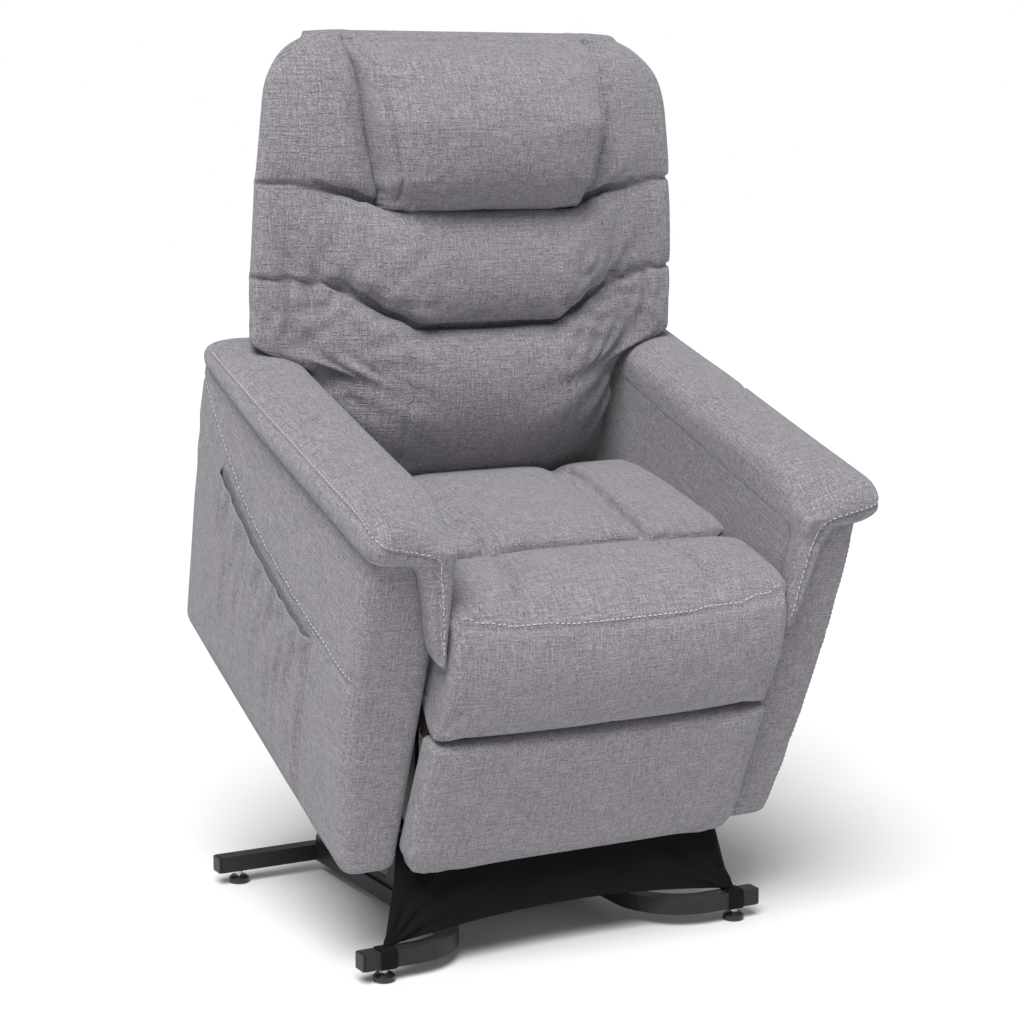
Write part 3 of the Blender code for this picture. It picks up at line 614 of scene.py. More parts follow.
def build_back():
    """Lumbar, middle and upper channels as one sewn cover, full in the middle, flat at the wings."""
    across, deep = oval_loop(132, 5.0)
    rows = []
    for section, count in ((0, 28), (1, 18), (2, 24)):
        for k in range(count):
            share = (k + (0.0 if section else 0.5)) / count
            rows.append((section, 0.45 * share + 0.55 * (0.5 - 0.5 * math.cos(math.pi * share))))
    rows.append((2, 1.0))
    bottom = 0.004
    rings = []
    for section, t in rows:
        z_mid = (bottom + t * 0.320, 0.325 + t * 0.134, 0.459 + t * (TOP_Z - 0.459))[section]
        x = across * back_half(section, t, z_mid)
        low, high = seam_height(SEAM_LOW, x), seam_height(SEAM_HIGH, x)
        edge = pillow_half((z_mid - PILLOW_LOW) / PILLOW_TALL)
        crest = TOP_Z - 0.016 * (np.abs(x) / BACK_HALF) ** 3
        crest = crest - 0.048 * ease(np.abs(x), 0.206, 0.176)
        bounds = ((np.full_like(x, bottom), low), (low, high), (high, crest))
        z = bounds[section][0] + (bounds[section][1] - bounds[section][0]) * t
        full = 1.0 - ease(np.abs(x), 0.110, 0.300)
        reach = np.abs(2.0 * t ** 0.85 - 1.0)
        puff = (1.0 - reach ** 2.6) ** 0.50
        centre_rise = (0.052, 0.054, 0.026)[section]
        wing_rise = (0.013, 0.009, 0.014)[section]
        rise = (wing_rise + (centre_rise - wing_rise) * full) * puff
        if section == 0:
            rise *= 0.30 + 0.70 * float(ease(t, 0.0, 0.45))
        seam = wing_depth(z) + (seam_depth(z) - wing_depth(z)) * full
        if section == 2:
            seam = wing_depth(z) - 0.018 * ease(np.abs(x), 0.32, 0.22)
            seam = np.minimum(seam + 0.050 * ease(np.abs(x), edge - 0.004, edge - 0.026), -0.046)
            rise = rise * (1.0 - 0.75 * ease(np.abs(x), edge + 0.030, edge - 0.010))
        front = seam - rise
        front = front + 0.014 * np.exp(-((z - high) / 0.010) ** 2) * (section == 2) * full
        rear = -0.030
        y = rear + (front - rear) * (deep + 1.0) / 2.0
        narrow = 1.0 - 0.10 * (1.0 - deep) / 2.0
        if section == 0:
            over_arm = ease(np.abs(x), WAIST_HALF, WAIST_HALF + 0.014) * float(ease(t, 0.92, 0.66))
            z = z + over_arm * (0.26 * (y + 0.112))
        rings.append(np.stack([x * narrow, y, z], 1))
    rings = close_ends(rings, 0.010, 0.010)
    verts, faces = ring_mesh(np.array(rings))
    obj = make_object("back_cover", BACK.world(np.array(verts)), faces, FABRIC)
    local = BACK.local(coords(obj))
    x, z = local[:, 0], local[:, 2]
    flat = np.stack([x, z], 1)
    on_front = ease(-local[:, 1], 0.060, 0.090)
    push = np.zeros(len(x))
    for s in (1.0, -1.0):
        for centre, spread, count, depth, turn in (
                ((s * 0.300, 0.205), 0.135, 23, 0.0115, 0.2), ((s * 0.190, 0.290), 0.085, 17, 0.0070, 0.9),
                ((s * 0.112, 0.250), 0.060, 13, 0.0035, 0.5), ((s * 0.165, 0.425), 0.060, 13, 0.0045, 0.1),
                ((s * 0.205, 0.445), 0.055, 11, 0.0030, 0.7), ((s * 0.115, 0.330), 0.055, 9, 0.0016, 0.4)):
            push += wrinkles(flat, centre, spread, count, depth, turn)
    push *= on_front * ease(BACK_HALF - np.abs(x), 0.006, 0.050)
    press(obj, push)
    seams = [[(s * x0, z0) for x0, z0 in seam] for seam in (SEAM_LOW, SEAM_HIGH)
             for s in (1.0, -1.0)]
    near = np.min([line_distance(flat, line) for line in seams], axis=0)
    waist = (z < 0.245) * ease(np.abs(x), WAIST_HALF - 0.012, WAIST_HALF - 0.004)
    behind_headrest = (z > 0.436) * (np.abs(x) < 0.215)
    pins = np.maximum.reduce([1.0 - near / 0.010, 1.0 - on_front, waist, behind_headrest])
    inflate(obj, pins, 4.0, 0.014)
    refine(obj)
    for s in (1.0, -1.0):
        groove(obj, BACK, [(s * 0.130, -0.17, 0.245), (s * 0.132, -0.17, 0.15),
                           (s * 0.135, -0.14, 0.030)], 0.0036, 0.0036)
        wing_low = [(s * 0.215, -0.116, 0.305), (s * 0.30, -0.112, 0.3205),
                    (s * (BACK_HALF + 0.002), -0.085, 0.325)]
        wing_high = [(s * 0.215, -0.116, 0.447), (s * 0.30, -0.112, 0.4575),
                     (s * (BACK_HALF + 0.002), -0.085, 0.459)]
        for line in (wing_low, wing_high):
            groove(obj, BACK, line, 0.0046, 0.0032)
    for seam in (SEAM_LOW, SEAM_HIGH):
        half = [(a, float(seam_depth(b)), b) for a, b in seam[1:4]]
        groove(obj, BACK, [(-a, y, b) for a, y, b in reversed(half)] + half, 0.0130, 0.0056)
    finish_soft(obj, BACK, "back",
                nodes=("back_lumbar_cushion", "back_middle_cushion", "back_bolster_left",
                       "back_bolster_right"))
    for side, s in SIDES:
        line = [(s * 0.1345, -0.19, 0.232), (s * 0.1365, -0.19, 0.15), (s * 0.139, -0.17, 0.05)]
        stitch("lumbar_stitch_" + side, obj, BACK, line, "back", 0.0005, TONAL_THREAD)
    return obj


def close_ends(rings, below, above, steps=4):
    """Round a loft's two ends off toward its middle depth, reaching past them by two lengths."""
    angles = [math.pi / 2 * k / steps for k in range(steps)]
    first = [shrunk(rings[0], math.sin(a), -below * math.cos(a)) for a in angles]
    last = [shrunk(rings[-1], math.sin(a), above * math.cos(a)) for a in reversed(angles)]
    return first + rings + last


def shrunk(ring, share, rise):
    """A copy of a ring, raised, and thinned to a share of its depth."""
    out = ring.copy()
    middle = ring[:, 1].mean()
    out[:, 1] = middle + (ring[:, 1] - middle) * (0.06 + 0.94 * share)
    out[:, 0] = ring[:, 0] * (0.965 + 0.035 * share)
    out[:, 2] = ring[:, 2] + rise
    return out


def pillow_half(t):
    """The headrest's half width between its side seams: bellied, widest at the top."""
    t = np.clip(t, 0.0, 1.0)
    return 0.166 + 0.010 * math.sin(math.pi * min(1.0, t * 1.25)) + 0.042 * t ** 1.6


def pillow_front(t):
    """Depth of the headrest's face between its rolled ends, up its height."""
    return float(np.interp(t, (0.0, 0.12, 0.5, 0.8, 0.93, 1.0),
                           (-0.170, -0.198, -0.200, -0.168, -0.134, -0.098)))


def build_pillow():
    """The headrest: a thick roll between two side seams, wider at the top, rolled over it."""
    across, deep = oval_loop(96, 4.4)
    rings = []
    for t in np.linspace(0.0, 1.0, 40):
        x = across * pillow_half(t)
        front = pillow_front(t) - 0.016 * math.sin(math.pi * t) * (1.0 - np.abs(across) ** 2.5)
        rear = -0.050 + 0.052 * t ** 4
        y = rear + (front - rear) * (deep + 1.0) / 2.0
        rings.append(np.stack([x, y, np.full_like(x, PILLOW_LOW + PILLOW_TALL * t)], 1))
    rings = close_ends(rings, 0.016, 0.014, 7)
    verts, faces = ring_mesh(np.array(rings))
    obj = make_object("headrest_cover", BACK.world(np.array(verts)), faces, FABRIC)
    local = BACK.local(coords(obj))
    flat = local[:, [0, 2]]
    push = np.zeros(len(flat))
    for s in (1.0, -1.0):
        push += wrinkles(flat, (s * 0.152, 0.435), 0.055, 13, 0.0035, 0.3 * s)
        push += wrinkles(flat, (s * 0.190, 0.62), 0.050, 9, 0.0016, 0.8)
    on_front = ease(-local[:, 1], 0.095, 0.125)
    press(obj, push * on_front)
    inflate(obj, 1.0 - on_front, 3.0, 0.008)
    refine(obj)
    for s in (1.0, -1.0):
        groove(obj, BACK, pillow_seam(s, 0.005), 0.0085, 0.0034)
    finish_soft(obj, BACK, "back", nodes=("headrest_pillow",))
    for side, s in SIDES:
        stitch("headrest_stitch_" + side, obj, BACK, pillow_seam(s, 0.013), "back", 0.0006,
               TONAL_THREAD)
    return obj


def pillow_seam(s, inset):
    """Line of a headrest side seam, moved inward by inset."""
    return [(s * (pillow_half(t) * 0.955 - inset), pillow_front(t) + 0.012, PILLOW_LOW + PILLOW_TALL * t)
            for t in (0.0, 0.12, 0.3, 0.5, 0.7, 0.85, 0.95, 1.02)]


def build_back_shell():
    """The upholstered rear of the back, with its tail between the arms."""
    across, deep = oval_loop(96, 4.5)
    rings = []
    for z in np.concatenate([np.linspace(-0.092, 0.215, 16), np.linspace(0.230, 0.640, 26)]):
        half = 0.252 + 0.010 * float(ease(z, 0.0, 0.1)) + 0.096 * float(ease(z, 0.216, 0.240))
        half -= 0.096 * float(ease(z, 0.50, 0.655)) ** 1.4
        belly = 0.006 * math.sin(math.pi * np.clip((z + 0.1) / 0.77, 0, 1))
        front, rear = -0.0480, 0.060 + belly - 0.016 * float(ease(z, 0.56, 0.66))
        if z < 0.05:
            front = 0.0150
        y = rear + (front - rear) * (deep + 1.0) / 2.0
        rings.append(np.stack([across * half * (1.0 - 1.25 * (y + 0.130)), y,
                               np.full_like(y, z)], 1))
    rings = close_ends(rings, 0.0085, 0.017, 5)
    verts, faces = ring_mesh(np.array(rings))
    obj = make_object("back_rear_cover", BACK.world(np.array(verts)), faces, FABRIC)
    local = BACK.local(coords(obj))
    inflate(obj, np.where(local[:, 1] > 0.045, 0.0, 1.0), 2.0, 0.006, 10)
    refine(obj)
    seam_z = 0.225
    groove(obj, BACK, [(-0.25, 0.075, seam_z), (0.0, 0.08, seam_z), (0.25, 0.075, seam_z)],
           0.0035, 0.0040)
    finish_soft(obj, BACK, "back", nodes=("back_outer_shell",))
    line = [(-0.24, 0.08, seam_z + 0.006), (0.0, 0.085, seam_z + 0.006), (0.24, 0.08, seam_z + 0.006)]
    stitch("rear_panel_stitch", obj, BACK, line, "back", 0.0005, TONAL_THREAD)
    return obj


# ---------------------------------------------------------------- seat
def stitch_drop(x):
    """How far the front seam sags between the arms."""
    return 0.032 * (1.0 - (np.abs(x) / SEAT_HALF) ** 2.2)


def build_seat():
    """Seat cover with sewn creases, running down over the front rail to its lip."""
    profile = smooth_line([(0.060, 0.400), (-0.060, 0.431), (-0.233, 0.463), (-0.320, 0.479),
                           (-0.370, 0.482), (-0.402, 0.469), (-0.422, 0.434), (-0.430, 0.380),
                           (-0.430, 0.330), (-0.426, 0.299), (-0.414, 0.2895), (-0.390, 0.294)],
                          0.0072)
    under = np.array([(-0.384, 0.312), (-0.383, 0.334), (-0.30, 0.336), (-0.15, 0.336),
                      (0.0, 0.336), (0.052, 0.338), (0.064, 0.350), (0.067, 0.380)])
    loop = np.vstack([profile, under])
    stations = np.linspace(-1.0, 1.0, 78)
    rings = []
    for u in stations:
        x = SEAT_HALF * math.sin(u * math.pi / 2 * 0.90) / math.sin(math.pi / 2 * 0.90)
        edge = max(0.0, (abs(x) - (SEAT_HALF - 0.022)) / 0.022)
        tuck = 1.0 - math.sqrt(max(0.0, 1.0 - edge ** 2.4))
        y, z = loop[:, 0].copy(), loop[:, 1].copy()
        on_top = ease(z, 0.36, 0.43) * ease(-y, -0.070, -0.04)
        on_front = ease(-y, 0.380, 0.415)
        middle = 1.0 - (x / SEAT_HALF) ** 2
        y -= on_front * (0.008 * middle - 0.008 * tuck)
        z -= on_top * 0.016 * tuck
        rings.append(np.stack([np.full_like(y, x), y, z], 1))
    verts, faces = ring_mesh(np.array(rings))
    obj = make_object("seat_cover", CHAIR.world(np.array(verts)), faces, FABRIC)
    local = CHAIR.local(coords(obj))
    x, y, z = local.T
    top = ease(z, 0.385, 0.41) * (y > -0.395)
    flat = np.stack([x, y], 1)
    creases = [[(-0.262, -0.236), (-0.127, -0.230), (0.0, -0.226), (0.127, -0.230), (0.262, -0.236)],
               [(-0.127, -0.230), (-0.130, -0.10), (-0.131, 0.06)],
               [(0.127, -0.230), (0.130, -0.10), (0.131, 0.06)],
               [(0.127, -0.236), (0.142, -0.31), (0.150, -0.372)],
               [(-0.127, -0.236), (-0.142, -0.31), (-0.150, -0.372)]]
    depth = np.zeros(len(x))
    for line, amount in zip(creases, (0.020, 0.022, 0.022, 0.012, 0.012)):
        distance = line_distance(flat, line)
        depth = np.maximum(depth, amount * np.exp(-(distance / 0.014) ** 1.0))
    push = -depth + 0.006 + 0.006 * ease(y, -0.250, -0.225)
    for s in (1.0, -1.0):
        push += wrinkles(flat, (s * 0.127, -0.236), 0.075, 11, 0.0030, 0.4 * s)
        push += wrinkles(flat, (s * 0.255, -0.30), 0.070, 11, 0.0020, 0.2)
    press(obj, push * top)
    front_seam = np.abs(z - (0.466 - stitch_drop(x))) + 9.0 * (y > -0.370)
    near = np.min([line_distance(flat, line) for line in creases[:3]], axis=0) + 9.0 * (1 - top)
    hidden = np.maximum(ease(-z, -0.345, -0.336) * (y > -0.40), ease(np.abs(x), 0.2625, 0.2640))
    pins = np.maximum.reduce([1.0 - near / 0.008, 1.0 - front_seam / 0.007, hidden,
                              ease(y, 0.02, 0.05)])
    inflate(obj, pins, 3.0, 0.012)
    refine(obj)
    seam_line = [(s, -0.425, 0.494 - float(stitch_drop(np.array(s))))
                 for s in np.linspace(-0.258, 0.258, 9)]
    groove(obj, CHAIR, seam_line, 0.0038, 0.0040)
    for line, amount in zip(creases, (0.014, 0.016, 0.016, 0.010, 0.010)):
        groove(obj, CHAIR, [(x0, y0, 0.455) for x0, y0 in line], amount, 0.0046)
    finish_soft(obj, CHAIR, "chair", nodes=("seat_cushion", "seat_front_border"))
    above = [(x0, y0, z0 + 0.0055) for x0, y0, z0 in seam_line]
    stitch("seat_front_stitch", obj, CHAIR, above, "chair", radius=0.0009)
    return obj


# ---------------------------------------------------------------- arms
def height_share(z):
    return (np.asarray(z) - ARM_LOW) / (ARM_HIGH - ARM_LOW)


def side_face_x(z):
    return 0.349 + 0.039 * height_share(z)


def front_face_y(z):
    return -0.399 + 0.038 * height_share(z)


def arm_top_z(y):
    return 0.505 + 0.047 * (0.244 - y) / 0.605


EYELET = [(-0.395, -0.144, 0.476), (-0.395, -0.147, 0.469), (-0.395, -0.149, 0.463)]


def build_arm_body(side, s):
    """Padded arm panel: flat inside, bellied outside, with a squared front."""
    fine = np.linspace(0.0, 1.0, 36)
    corner = []
    for cx, cy, start in ((1, 1, 0), (0, 1, 90), (0, 0, 180), (1, 0, 270)):
        for a in np.radians(np.linspace(start, start + 90, 6)):
            corner.append((cx, cy, math.cos(a), math.sin(a)))
    rings = []
    for t in fine:
        ring = []
        z_front = ARM_LOW + t * (0.548 - ARM_LOW)
        belly = 0.013 * math.sin(math.pi * min(1.0, t * 1.05)) ** 0.8
        outer = float(side_face_x(z_front)) + belly - 0.001
        y_front = float(front_face_y(z_front)) - 0.003
        end = min(1.0, t / 0.03 + 0.3)
        loop = []
        for cx, cy, ca, sa in corner:
            radius = 0.006 if cy else 0.016
            far = outer - (belly if cy else 0.0)
            x = ARM_INNER + radius + cx * (far - ARM_INNER - 2 * radius) + radius * ca
            y = ARM_REAR - radius if cy else y_front + radius
            y += radius * sa
            loop.append((x, y))
        dense = resample(np.array(loop), 120)
        for x, y in dense:
            z = ARM_LOW + t * (float(arm_top_z(y)) + 0.014 - ARM_LOW)
            lean = (y - y_front) / (ARM_REAR - y_front)
            x += 0.6 * belly * math.sin(math.pi * min(1.0, max(0.0, lean))) * (x > 0.32)
            x -= (1.0 - end) * 0.006 * (1 if x > 0.3 else -1)
            x -= 0.005 * max(0.0, lean - 0.8) * (x > 0.3)
            x -= 0.004 * max(0.0, (t - 0.90) / 0.10) * (x > 0.3)
            x -= 0.0015 * max(0.0, (t - 0.90) / 0.10) * (x < 0.3)
            ring.append((s * x, y, z))
        rings.append(ring)
    verts, faces = ring_mesh(np.array(rings))
    obj = make_object("arm_panel_" + side, CHAIR.world(np.array(verts)), faces, FABRIC)
    local = CHAIR.local(coords(obj))
    outside = ease(np.abs(local[:, 0]), 0.335, 0.350)
    flat = local[:, 1:]
    push = wrinkles(flat, (-0.30, 0.20), 0.14, 9, 0.0012, 0.3)
    push += wrinkles(flat, (0.16, 0.42), 0.16, 9, 0.0014, 1.1)
    press(obj, push * outside)
    refine(obj)
    seam = [(s * 0.395, 0.243, 0.490), (s * 0.395, 0.200, 0.466), (s * 0.395, 0.108, 0.424),
            (s * 0.395, 0.010, 0.392), (s * 0.395, -0.111, 0.378), (s * 0.395, -0.250, 0.369),
            (s * 0.392, -0.384, 0.366)]
    groove(obj, CHAIR, seam, 0.0030, 0.0036)
    edge = [(s * 0.36, -0.398, 0.060), (s * 0.388, -0.384, 0.30), (s * 0.398, -0.366, 0.530)]
    groove(obj, CHAIR, edge, 0.0020, 0.0030)
    if s < 0:
        groove(obj, CHAIR, EYELET, 0.0060, 0.0030)
    finish_soft(obj, CHAIR, "chair", nodes=("arm_body_" + side, "side_cover_" + side))
    above = [(x, y, z + 0.0055) for x, y, z in seam]
    stitch("side_seam_stitch_" + side, obj, CHAIR, above, "chair", radius=0.0006)
    stitch("corner_stitch_" + side, obj, CHAIR, [(x - s * 0.006, y - 0.003, z) for x, y, z in edge],
           "chair", 0.0004, TONAL_THREAD)
    return obj


def resample(loop, count):
    closed = np.vstack([loop, loop[:1]])
    length = np.concatenate([[0], np.cumsum(np.linalg.norm(np.diff(closed, axis=0), axis=1))])
    at = np.linspace(0, length[-1], count + 1)[:-1]
    return np.stack([np.interp(at, length, closed[:, k]) for k in range(closed.shape[1])], 1)


def surface_x(obj, points, s):
    """Where lines along X first meet a piece from its outer side."""
    tree = BVHTree.FromObject(obj, bpy.context.evaluated_depsgraph_get())
    out = []
    for _, y, z in points:
        hit = tree.ray_cast(Vector((s * 0.6, y, z)), Vector((-s, 0.0, 0.0)))[0]
        out.append(hit.x if hit else np.nan)
    out = np.array(out)
    gaps = np.isnan(out)
    out[gaps] = np.interp(np.flatnonzero(gaps), np.flatnonzero(~gaps), out[~gaps])
    return out


def cap_rings(s):
    """The padded arm top: it swells toward the front and ends in a rounded nose."""
    across, lift = oval_loop(60, 2.9)
    rings = []
    stations = np.concatenate([[0.252, 0.250, 0.244], np.linspace(0.232, -0.345, 44),
                               [-0.360, -0.372, -0.381, -0.387, -0.390]])
    for y in stations:
        share = np.clip((0.244 - y) / 0.625, 0.0, 1.0)
        low = float(arm_top_z(y)) - 0.008
        rise = 0.058 + 0.026 * share ** 1.2
        end = min(1.0, math.sqrt(max(0.0, 1.0 - max(0.0, (y - 0.226) / 0.0262) ** 2)))
        nose = math.sqrt(max(0.0, 1.0 - max(0.0, (-y - 0.350) / 0.0406) ** 2))
        full = max(0.10, min(end, nose))
        outer = 0.386 + 0.013 * min(1.0, share * 2.2 + 0.2)
        middle, half = (outer + 0.2655) / 2, (outer - 0.2655) / 2
        wall = np.where((across < 0) & (lift < 0), -1.0, across)
        x = middle + wall * half * (0.80 + 0.20 * full)
        z = low + rise / 2 + lift * rise / 2 * full
        fall = 0.034 * float(ease(-y, 0.270, 0.390)) * ease(-across, -0.75, 0.95)
        z = z - fall * (lift > -0.2)
        rings.append(np.stack([s * x, np.full_like(x, y), z], 1))
    return rings


def wing_rings(s):
    """The flap that drops from the arm's nose beside the seat and narrows to a soft point."""
    rings = []
    a, b = oval_loop(28, 2.5)
    for t in np.linspace(0.0, 1.0, 24):
        z = 0.582 - 0.177 * t
        width = 0.046 * (1.0 - t) ** 0.70 + 0.013 + 0.040 * math.exp(-t * 8.0)
        width *= 1.0 - 0.35 * max(0.0, (t - 0.90) / 0.10) ** 2
        front = float(front_face_y(z)) - 0.021 - 0.024 * t
        rear = float(front_face_y(z)) + 0.006
        x = 0.2655 + width / 2 + a * width / 2
        y = (front + rear) / 2 - b * (rear - front) / 2
        rings.append(np.stack([s * x, y, np.full_like(x, z)], 1))
    return rings


def build_arm_cap(side, s):
    parts = [ring_mesh(np.array(rings)) for rings in (cap_rings(s), wing_rings(s))]
    verts, faces = parts[0][0], parts[0][1]
    faces = faces + [tuple(i + len(verts) for i in face) for face in parts[1][1]]
    verts = verts + parts[1][0]
    obj = make_object("arm_cap_cover_" + side, CHAIR.world(np.array(verts)), faces, FABRIC)
    mod = obj.modifiers.new("weld", "REMESH")
    mod.mode = "VOXEL"
    mod.voxel_size = 0.0050
    apply_modifiers(obj)
    relax(obj, 9)
    local = CHAIR.local(coords(obj))
    above = local[:, 2] - arm_top_z(local[:, 1])
    inner = ease(np.abs(local[:, 0]), 0.275, 0.266) * (above < 0.03)
    inflate(obj, np.maximum(1.0 - ease(above, 0.004, 0.014), inner), 2.0, 0.008, 10)
    refine(obj)
    seam = cap_seam(s)
    groove(obj, CHAIR, seam, 0.0036, 0.0036)
    cross = [(s * 0.270, -0.055, 0.600), (s * 0.315, -0.085, 0.610), (s * 0.360, -0.060, 0.605),
             (s * 0.396, -0.010, 0.575)]
    groove(obj, CHAIR, cross, 0.0026, 0.0034)
    finish_soft(obj, CHAIR, "chair", nodes=("arm_cap_" + side,))
    stitch("cap_edge_stitch_" + side, obj, CHAIR, [(x - s * 0.005, y, z + 0.004)
                                                   for x, y, z in seam], "chair", radius=0.0007)
    stitch("cap_cross_stitch_" + side, obj, CHAIR, [(x, y - 0.005, z) for x, y, z in cross], "chair",
           0.0005, TONAL_THREAD)
    return obj


def cap_seam(s):
    """Outer edge of the arm top, round the nose and down the flap."""
    line = [(0.398, y, float(arm_top_z(y)) + 0.035 + 0.016 * (0.23 - y) / 0.6)
            for y in np.linspace(0.225, -0.335, 7)]
    line += [(0.388, -0.390, 0.592), (0.350, -0.402, 0.580), (0.318, -0.408, 0.566),
             (0.299, -0.412, 0.540), (0.288, -0.419, 0.480), (0.280, -0.424, 0.420)]
    return [(s * x, y, z) for x, y, z in line]


def relax(obj, rounds):
    mod = obj.modifiers.new("relax", "SMOOTH")
    mod.factor = 0.5
    mod.iterations = rounds
    apply_modifiers(obj)


def build_pocket(panel):
    """A gathered flat pocket on the occupant's right, open along its top."""
    columns, rows = 96, 56
    mouth_rear, mouth_front = (0.128, 0.404), (-0.250, 0.357)
    foot_rear, foot_front = (0.135, 0.060), (-0.234, 0.060)
    u, v = np.meshgrid(np.linspace(0, 1, columns), np.linspace(0, 1, rows))
    sag = -0.010 * np.sin(math.pi * u) * v ** 4
    top_y = mouth_rear[0] + (mouth_front[0] - mouth_rear[0]) * u
    top_z = mouth_rear[1] + (mouth_front[1] - mouth_rear[1]) * u
    low_y = foot_rear[0] + (foot_front[0] - foot_rear[0]) * u
    y = low_y + (top_y - low_y) * v
    z = foot_front[1] + (top_z + sag - foot_front[1]) * v
    points = CHAIR.world(np.stack([z, y, z], -1).reshape(-1, 3))
    face = -surface_x(panel, points, -1.0).reshape(y.shape)
    edge = ease(np.minimum(np.minimum(u, 1 - u) * 26, v * 9), 0.0, 1.0)
    ripple = np.sin(u * 44.0 + 2.4 * np.sin(u * 8.0) + 1.6 * v)
    ripple += 0.5 * np.sin(u * 83.0 + 3.0 * np.sin(v * 4.0))
    ripple *= edge * (0.30 + 0.70 * ease(v, 0.10, 0.75)) * ease(1.04 - v, 0.0, 0.12)
    out = face + 0.0006 + 0.0060 * edge + 0.0030 * ripple
    out += 0.0034 * ease(v, 0.84, 1.0) * edge
    outer = np.stack([-out, y, z], -1)
    inner = np.stack([-(out - POCKET_THICK), y, z], -1)
    verts, faces = thin_sheet(outer, inner)
    obj = make_object("pocket_cover", CHAIR.world(verts), faces, FABRIC)
    refine(obj)
    finish_soft(obj, CHAIR, "chair", nodes=("side_pocket",))
    for row in (0.018, 0.024):
        hem = [(-0.40, mouth_rear[0] + (mouth_front[0] - mouth_rear[0]) * k,
                mouth_rear[1] + (mouth_front[1] - mouth_rear[1]) * k -
                0.010 * math.sin(math.pi * k) - row) for k in np.linspace(0.03, 0.97, 7)]
        stitch("pocket_hem_stitch_%d" % round(row * 1000), obj, CHAIR, hem, "chair", 0.0005, TONAL_THREAD)
    return obj


# ---------------------------------------------------------------- footrest
def build_footrest():
    across, deep = oval_loop(120, 9.0)
    rings = []
    low, high = 0.070, 0.277
    for t in np.linspace(0.0, 1.0, 30):
        z = low + (high - low) * t
        half = 0.2685 - 0.012 * (1.0 - float(ease(t, 0.0, 0.16))) ** 2
        x = across * half
        crown = 0.004 * (1 - across ** 2) * math.sin(math.pi * t)
        front = -0.4315 - crown
        y = -0.3815 + (front + 0.3815) * (deep + 1.0) / 2.0
        rings.append(np.stack([x, y, np.full_like(x, z)], 1))
    rings = close_ends(rings, 0.007, 0.008, 5)
    verts, faces = ring_mesh(np.array(rings))
    obj = make_object("footrest_cover", CHAIR.world(np.array(verts)), faces, FABRIC)
    local = CHAIR.local(coords(obj))
    flat = local[:, [0, 2]]
    push = sum(wrinkles(flat, (s * 0.24, 0.09), 0.09, 9, 0.0012, 0.3) for s in (1.0, -1.0))
    press(obj, push * (local[:, 1] < -0.41))
    inflate(obj, np.where(local[:, 1] < -0.415, 0.0, 1.0), 1.5, 0.004, 8)
    refine(obj)
    return finish_soft(obj, CHAIR, "footrest_panel", nodes=("footrest_pad",))


# ---------------------------------------------------------------- skirt
def build_skirt():
    """Stretch cloth drawn taut from the base's outriggers up behind the footrest."""
    low, high = 0.046, 0.186
    columns, rows = 130, 40
    u, v = np.meshgrid(np.linspace(-1, 1, columns), np.linspace(0, 1, rows))
    arch = 0.026 * (1.0 - u ** 2) ** 0.9 * (1.0 - v) ** 1.5
    z = low + (high - low) * v + arch
    half = np.interp(v, (0.0, 0.25, 0.65, 1.0), (0.2920, 0.2790, 0.2665, 0.2600))
    y = -0.3030 + 0.020 * v + STAND_Y
    fold = np.zeros_like(u)
    for s in (1.0, -1.0):
        dx, dz = (u * half - s * 0.285), (z - low)
        angle = np.arctan2(dz, -s * dx)
        reach = np.hypot(dx, dz)
        fold += 0.0038 * np.cos(angle * 17.0 + 1.0) * np.exp(-(reach / 0.16) ** 2) * \
            ease(reach, 0.0, 0.05)
    fold += 0.0018 * np.sin(u * 21.0) * v
    front = np.stack([u * half, y + fold - SKIRT_THICK / 2, z], -1)
    verts, faces = thin_sheet(front, front + [0.0, SKIRT_THICK, 0.0])
    obj = make_object("skirt_cloth", verts, faces, SKIRT_CLOTH)
    obj.data.shade_smooth()
    box_uv(obj, None)
    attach(obj, "base")
    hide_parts("front_skirt")
    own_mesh(obj)
    for side, s in SIDES:
        strap(side, s * 0.2870, -0.303 + STAND_Y)


def strap(side, x, y):
    """The skirt's loop round an outrigger."""
    rings = []
    half, thick = 0.0145, 0.0012
    for dx, grow in ((-0.013, 0.0), (-0.0115, thick), (0.0115, thick), (0.013, 0.0)):
        loop = []
        for a in np.radians(np.arange(0, 360, 12)):
            px = math.copysign(abs(math.cos(a)) ** 0.45, math.cos(a)) * (half + grow)
            pz = math.copysign(abs(math.sin(a)) ** 0.45, math.sin(a)) * (half + grow)
            loop.append((x + dx, y + px, TUBE_Z + pz))
        rings.append(loop)
    inner = [[(px, y + (py - y) * 0.935, TUBE_Z + (pz - TUBE_Z) * 0.935) for px, py, pz in ring]
             for ring in (rings[-1], rings[0])]
    rings = rings + inner + [rings[0]]
    cols = len(rings[0])
    verts = [p for ring in rings[:-1] for p in ring]
    faces = []
    total = len(rings) - 1
    for r in range(total):
        for c in range(cols):
            d = (c + 1) % cols
            n = (r + 1) % total
            faces.append((r * cols + c, r * cols + d, n * cols + d, n * cols + c))
    obj = make_object("skirt_strap_" + side, verts, faces, SKIRT_CLOTH)
    obj.data.shade_smooth()
    box_uv(obj, None)
    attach(obj, "base")


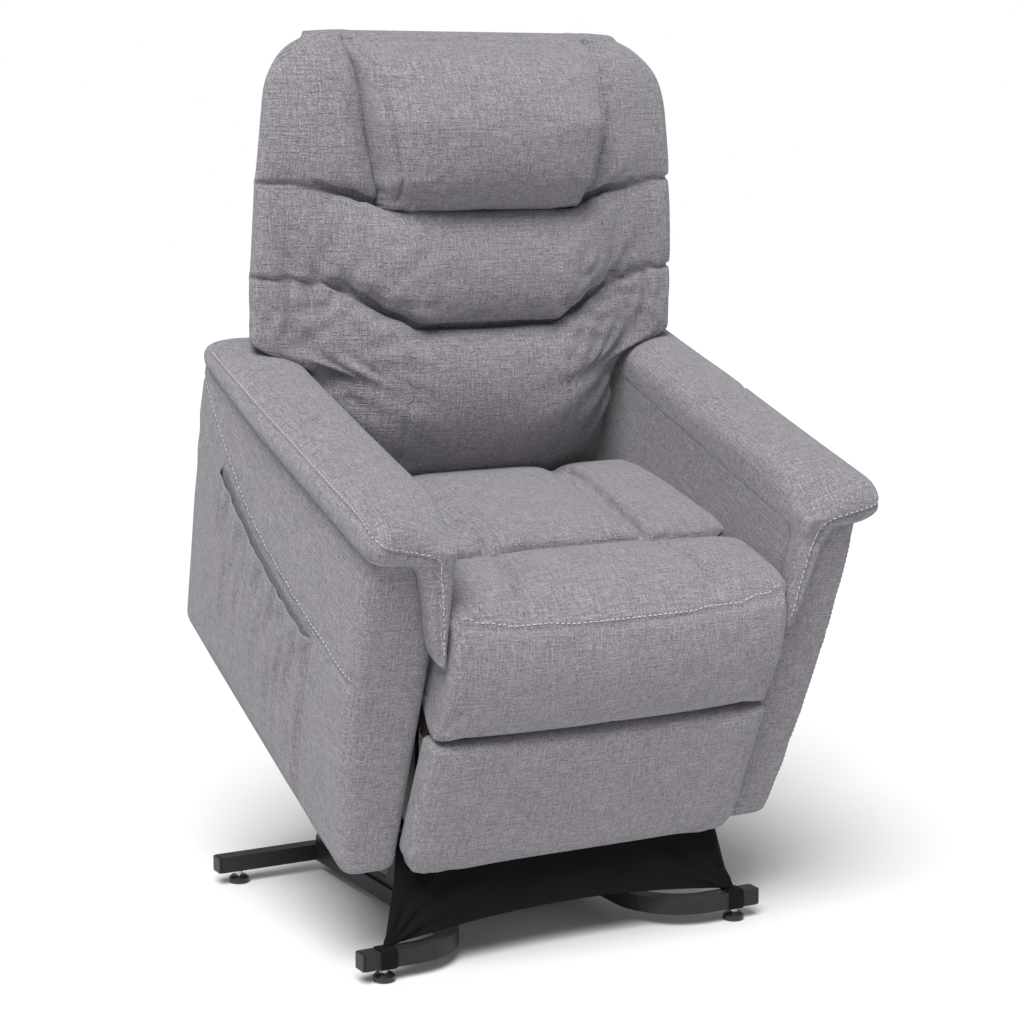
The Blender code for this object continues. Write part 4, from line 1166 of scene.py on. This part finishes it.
# ---------------------------------------------------------------- hard parts
def build_hard_parts():
    """Metal, plastic and timber keep their CAD shapes and take the finishes above."""
    finishes = {"black_powder_coat": POWDER, "zinc_steel": ZINC, "black_plastic": MATTE_PLASTIC,
                "plywood": PLYWOOD, "deck_webbing": WEBBING, "gloss_plastic": GLOSS_PLASTIC}
    for row in frame["record"]["subparts"]:
        finish = finishes.get(row["material_slot"])
        if finish:
            node = frame["nodes"][row["node"]]
            for slot in node.material_slots:
                slot.material = finish
    # painted shade: the seat front rail and footrest board take the near-black plywood, so their edges that show
    # between the upholstered parts read as shadowed gaps
    for node in ("seat_front_rail", "footrest_board"):
        for slot in frame["nodes"][node].material_slots:
            slot.material = PLYWOOD_PAINTED_SHADE
    for end in ("front", "rear"):
        for side, _ in SIDES:
            foot = frame["nodes"]["levelling_foot_%s_%s" % (end, side)]
            foot.data.materials.append(ZINC)
            for face in foot.data.polygons:
                face.material_index = 1 if face.center.z > STEM_Z else 0


# ---------------------------------------------------------------- stage
def build_stage():
    bpy.ops.mesh.primitive_plane_add(size=30.0, location=(0.0, 0.0, 0.0))
    floor = bpy.context.object
    floor.name = "studio_floor"
    mat = bpy.data.materials.new("studio_floor")
    mat.use_nodes = True
    shader = mat.node_tree.nodes["Principled BSDF"]
    shader.inputs["Base Color"].default_value = (0.79, 0.79, 0.79, 1.0)
    shader.inputs["Roughness"].default_value = 0.75
    floor.data.materials.append(mat)
    world = bpy.data.worlds.new("studio")
    world.use_nodes = True
    background = world.node_tree.nodes["Background"]
    background.inputs["Color"].default_value = (1.0, 1.0, 1.0, 1.0)
    background.inputs["Strength"].default_value = 1.0
    path = world.node_tree.nodes.new("ShaderNodeLightPath")
    strength = world.node_tree.nodes.new("ShaderNodeMapRange")
    strength.inputs["To Min"].default_value = 0.34
    strength.inputs["To Max"].default_value = 1.0
    world.node_tree.links.new(path.outputs["Is Camera Ray"], strength.inputs["Value"])
    world.node_tree.links.new(strength.outputs["Result"], background.inputs["Strength"])
    scene = bpy.context.scene
    scene.world = world
    scene.view_settings.view_transform = "Standard"
    sun("key", (-2.1, -2.7, 4.5), 4.3, 34.0)


def sun(name, toward, power, spread):
    """A wide, soft light from one direction, which lights the floor evenly."""
    light = bpy.data.lights.new(name, "SUN")
    light.angle = math.radians(spread)
    light.energy = power
    obj = bpy.data.objects.new(name, light)
    bpy.context.scene.collection.objects.link(obj)
    obj.location = toward
    obj.rotation_mode = "QUATERNION"
    obj.rotation_quaternion = (-Vector(toward)).to_track_quat("-Z", "Y")


def build_camera():
    data = bpy.data.cameras.new("camera")
    data.lens = 90.0
    data.sensor_width = 36.0
    camera = bpy.data.objects.new("camera", data)
    bpy.context.scene.collection.objects.link(camera)
    azimuth, elevation = math.radians(-28.43), math.radians(8.95)
    toward = Vector((math.sin(azimuth) * math.cos(elevation),
                     -math.cos(azimuth) * math.cos(elevation), math.sin(elevation)))
    camera.location = (-1.762, -3.397 + STAND_Y, 1.200)
    camera.rotation_mode = "QUATERNION"
    camera.rotation_quaternion = (-toward).to_track_quat("-Z", "Y")
    bpy.context.scene.camera = camera


build_hard_parts()
build_back()
build_pillow()
build_back_shell()
build_seat()
for side_name, sign in SIDES:
    arm_panel = build_arm_body(side_name, sign)
    build_arm_cap(side_name, sign)
build_pocket(arm_panel)
build_footrest()
build_skirt()
build_stage()
build_camera()
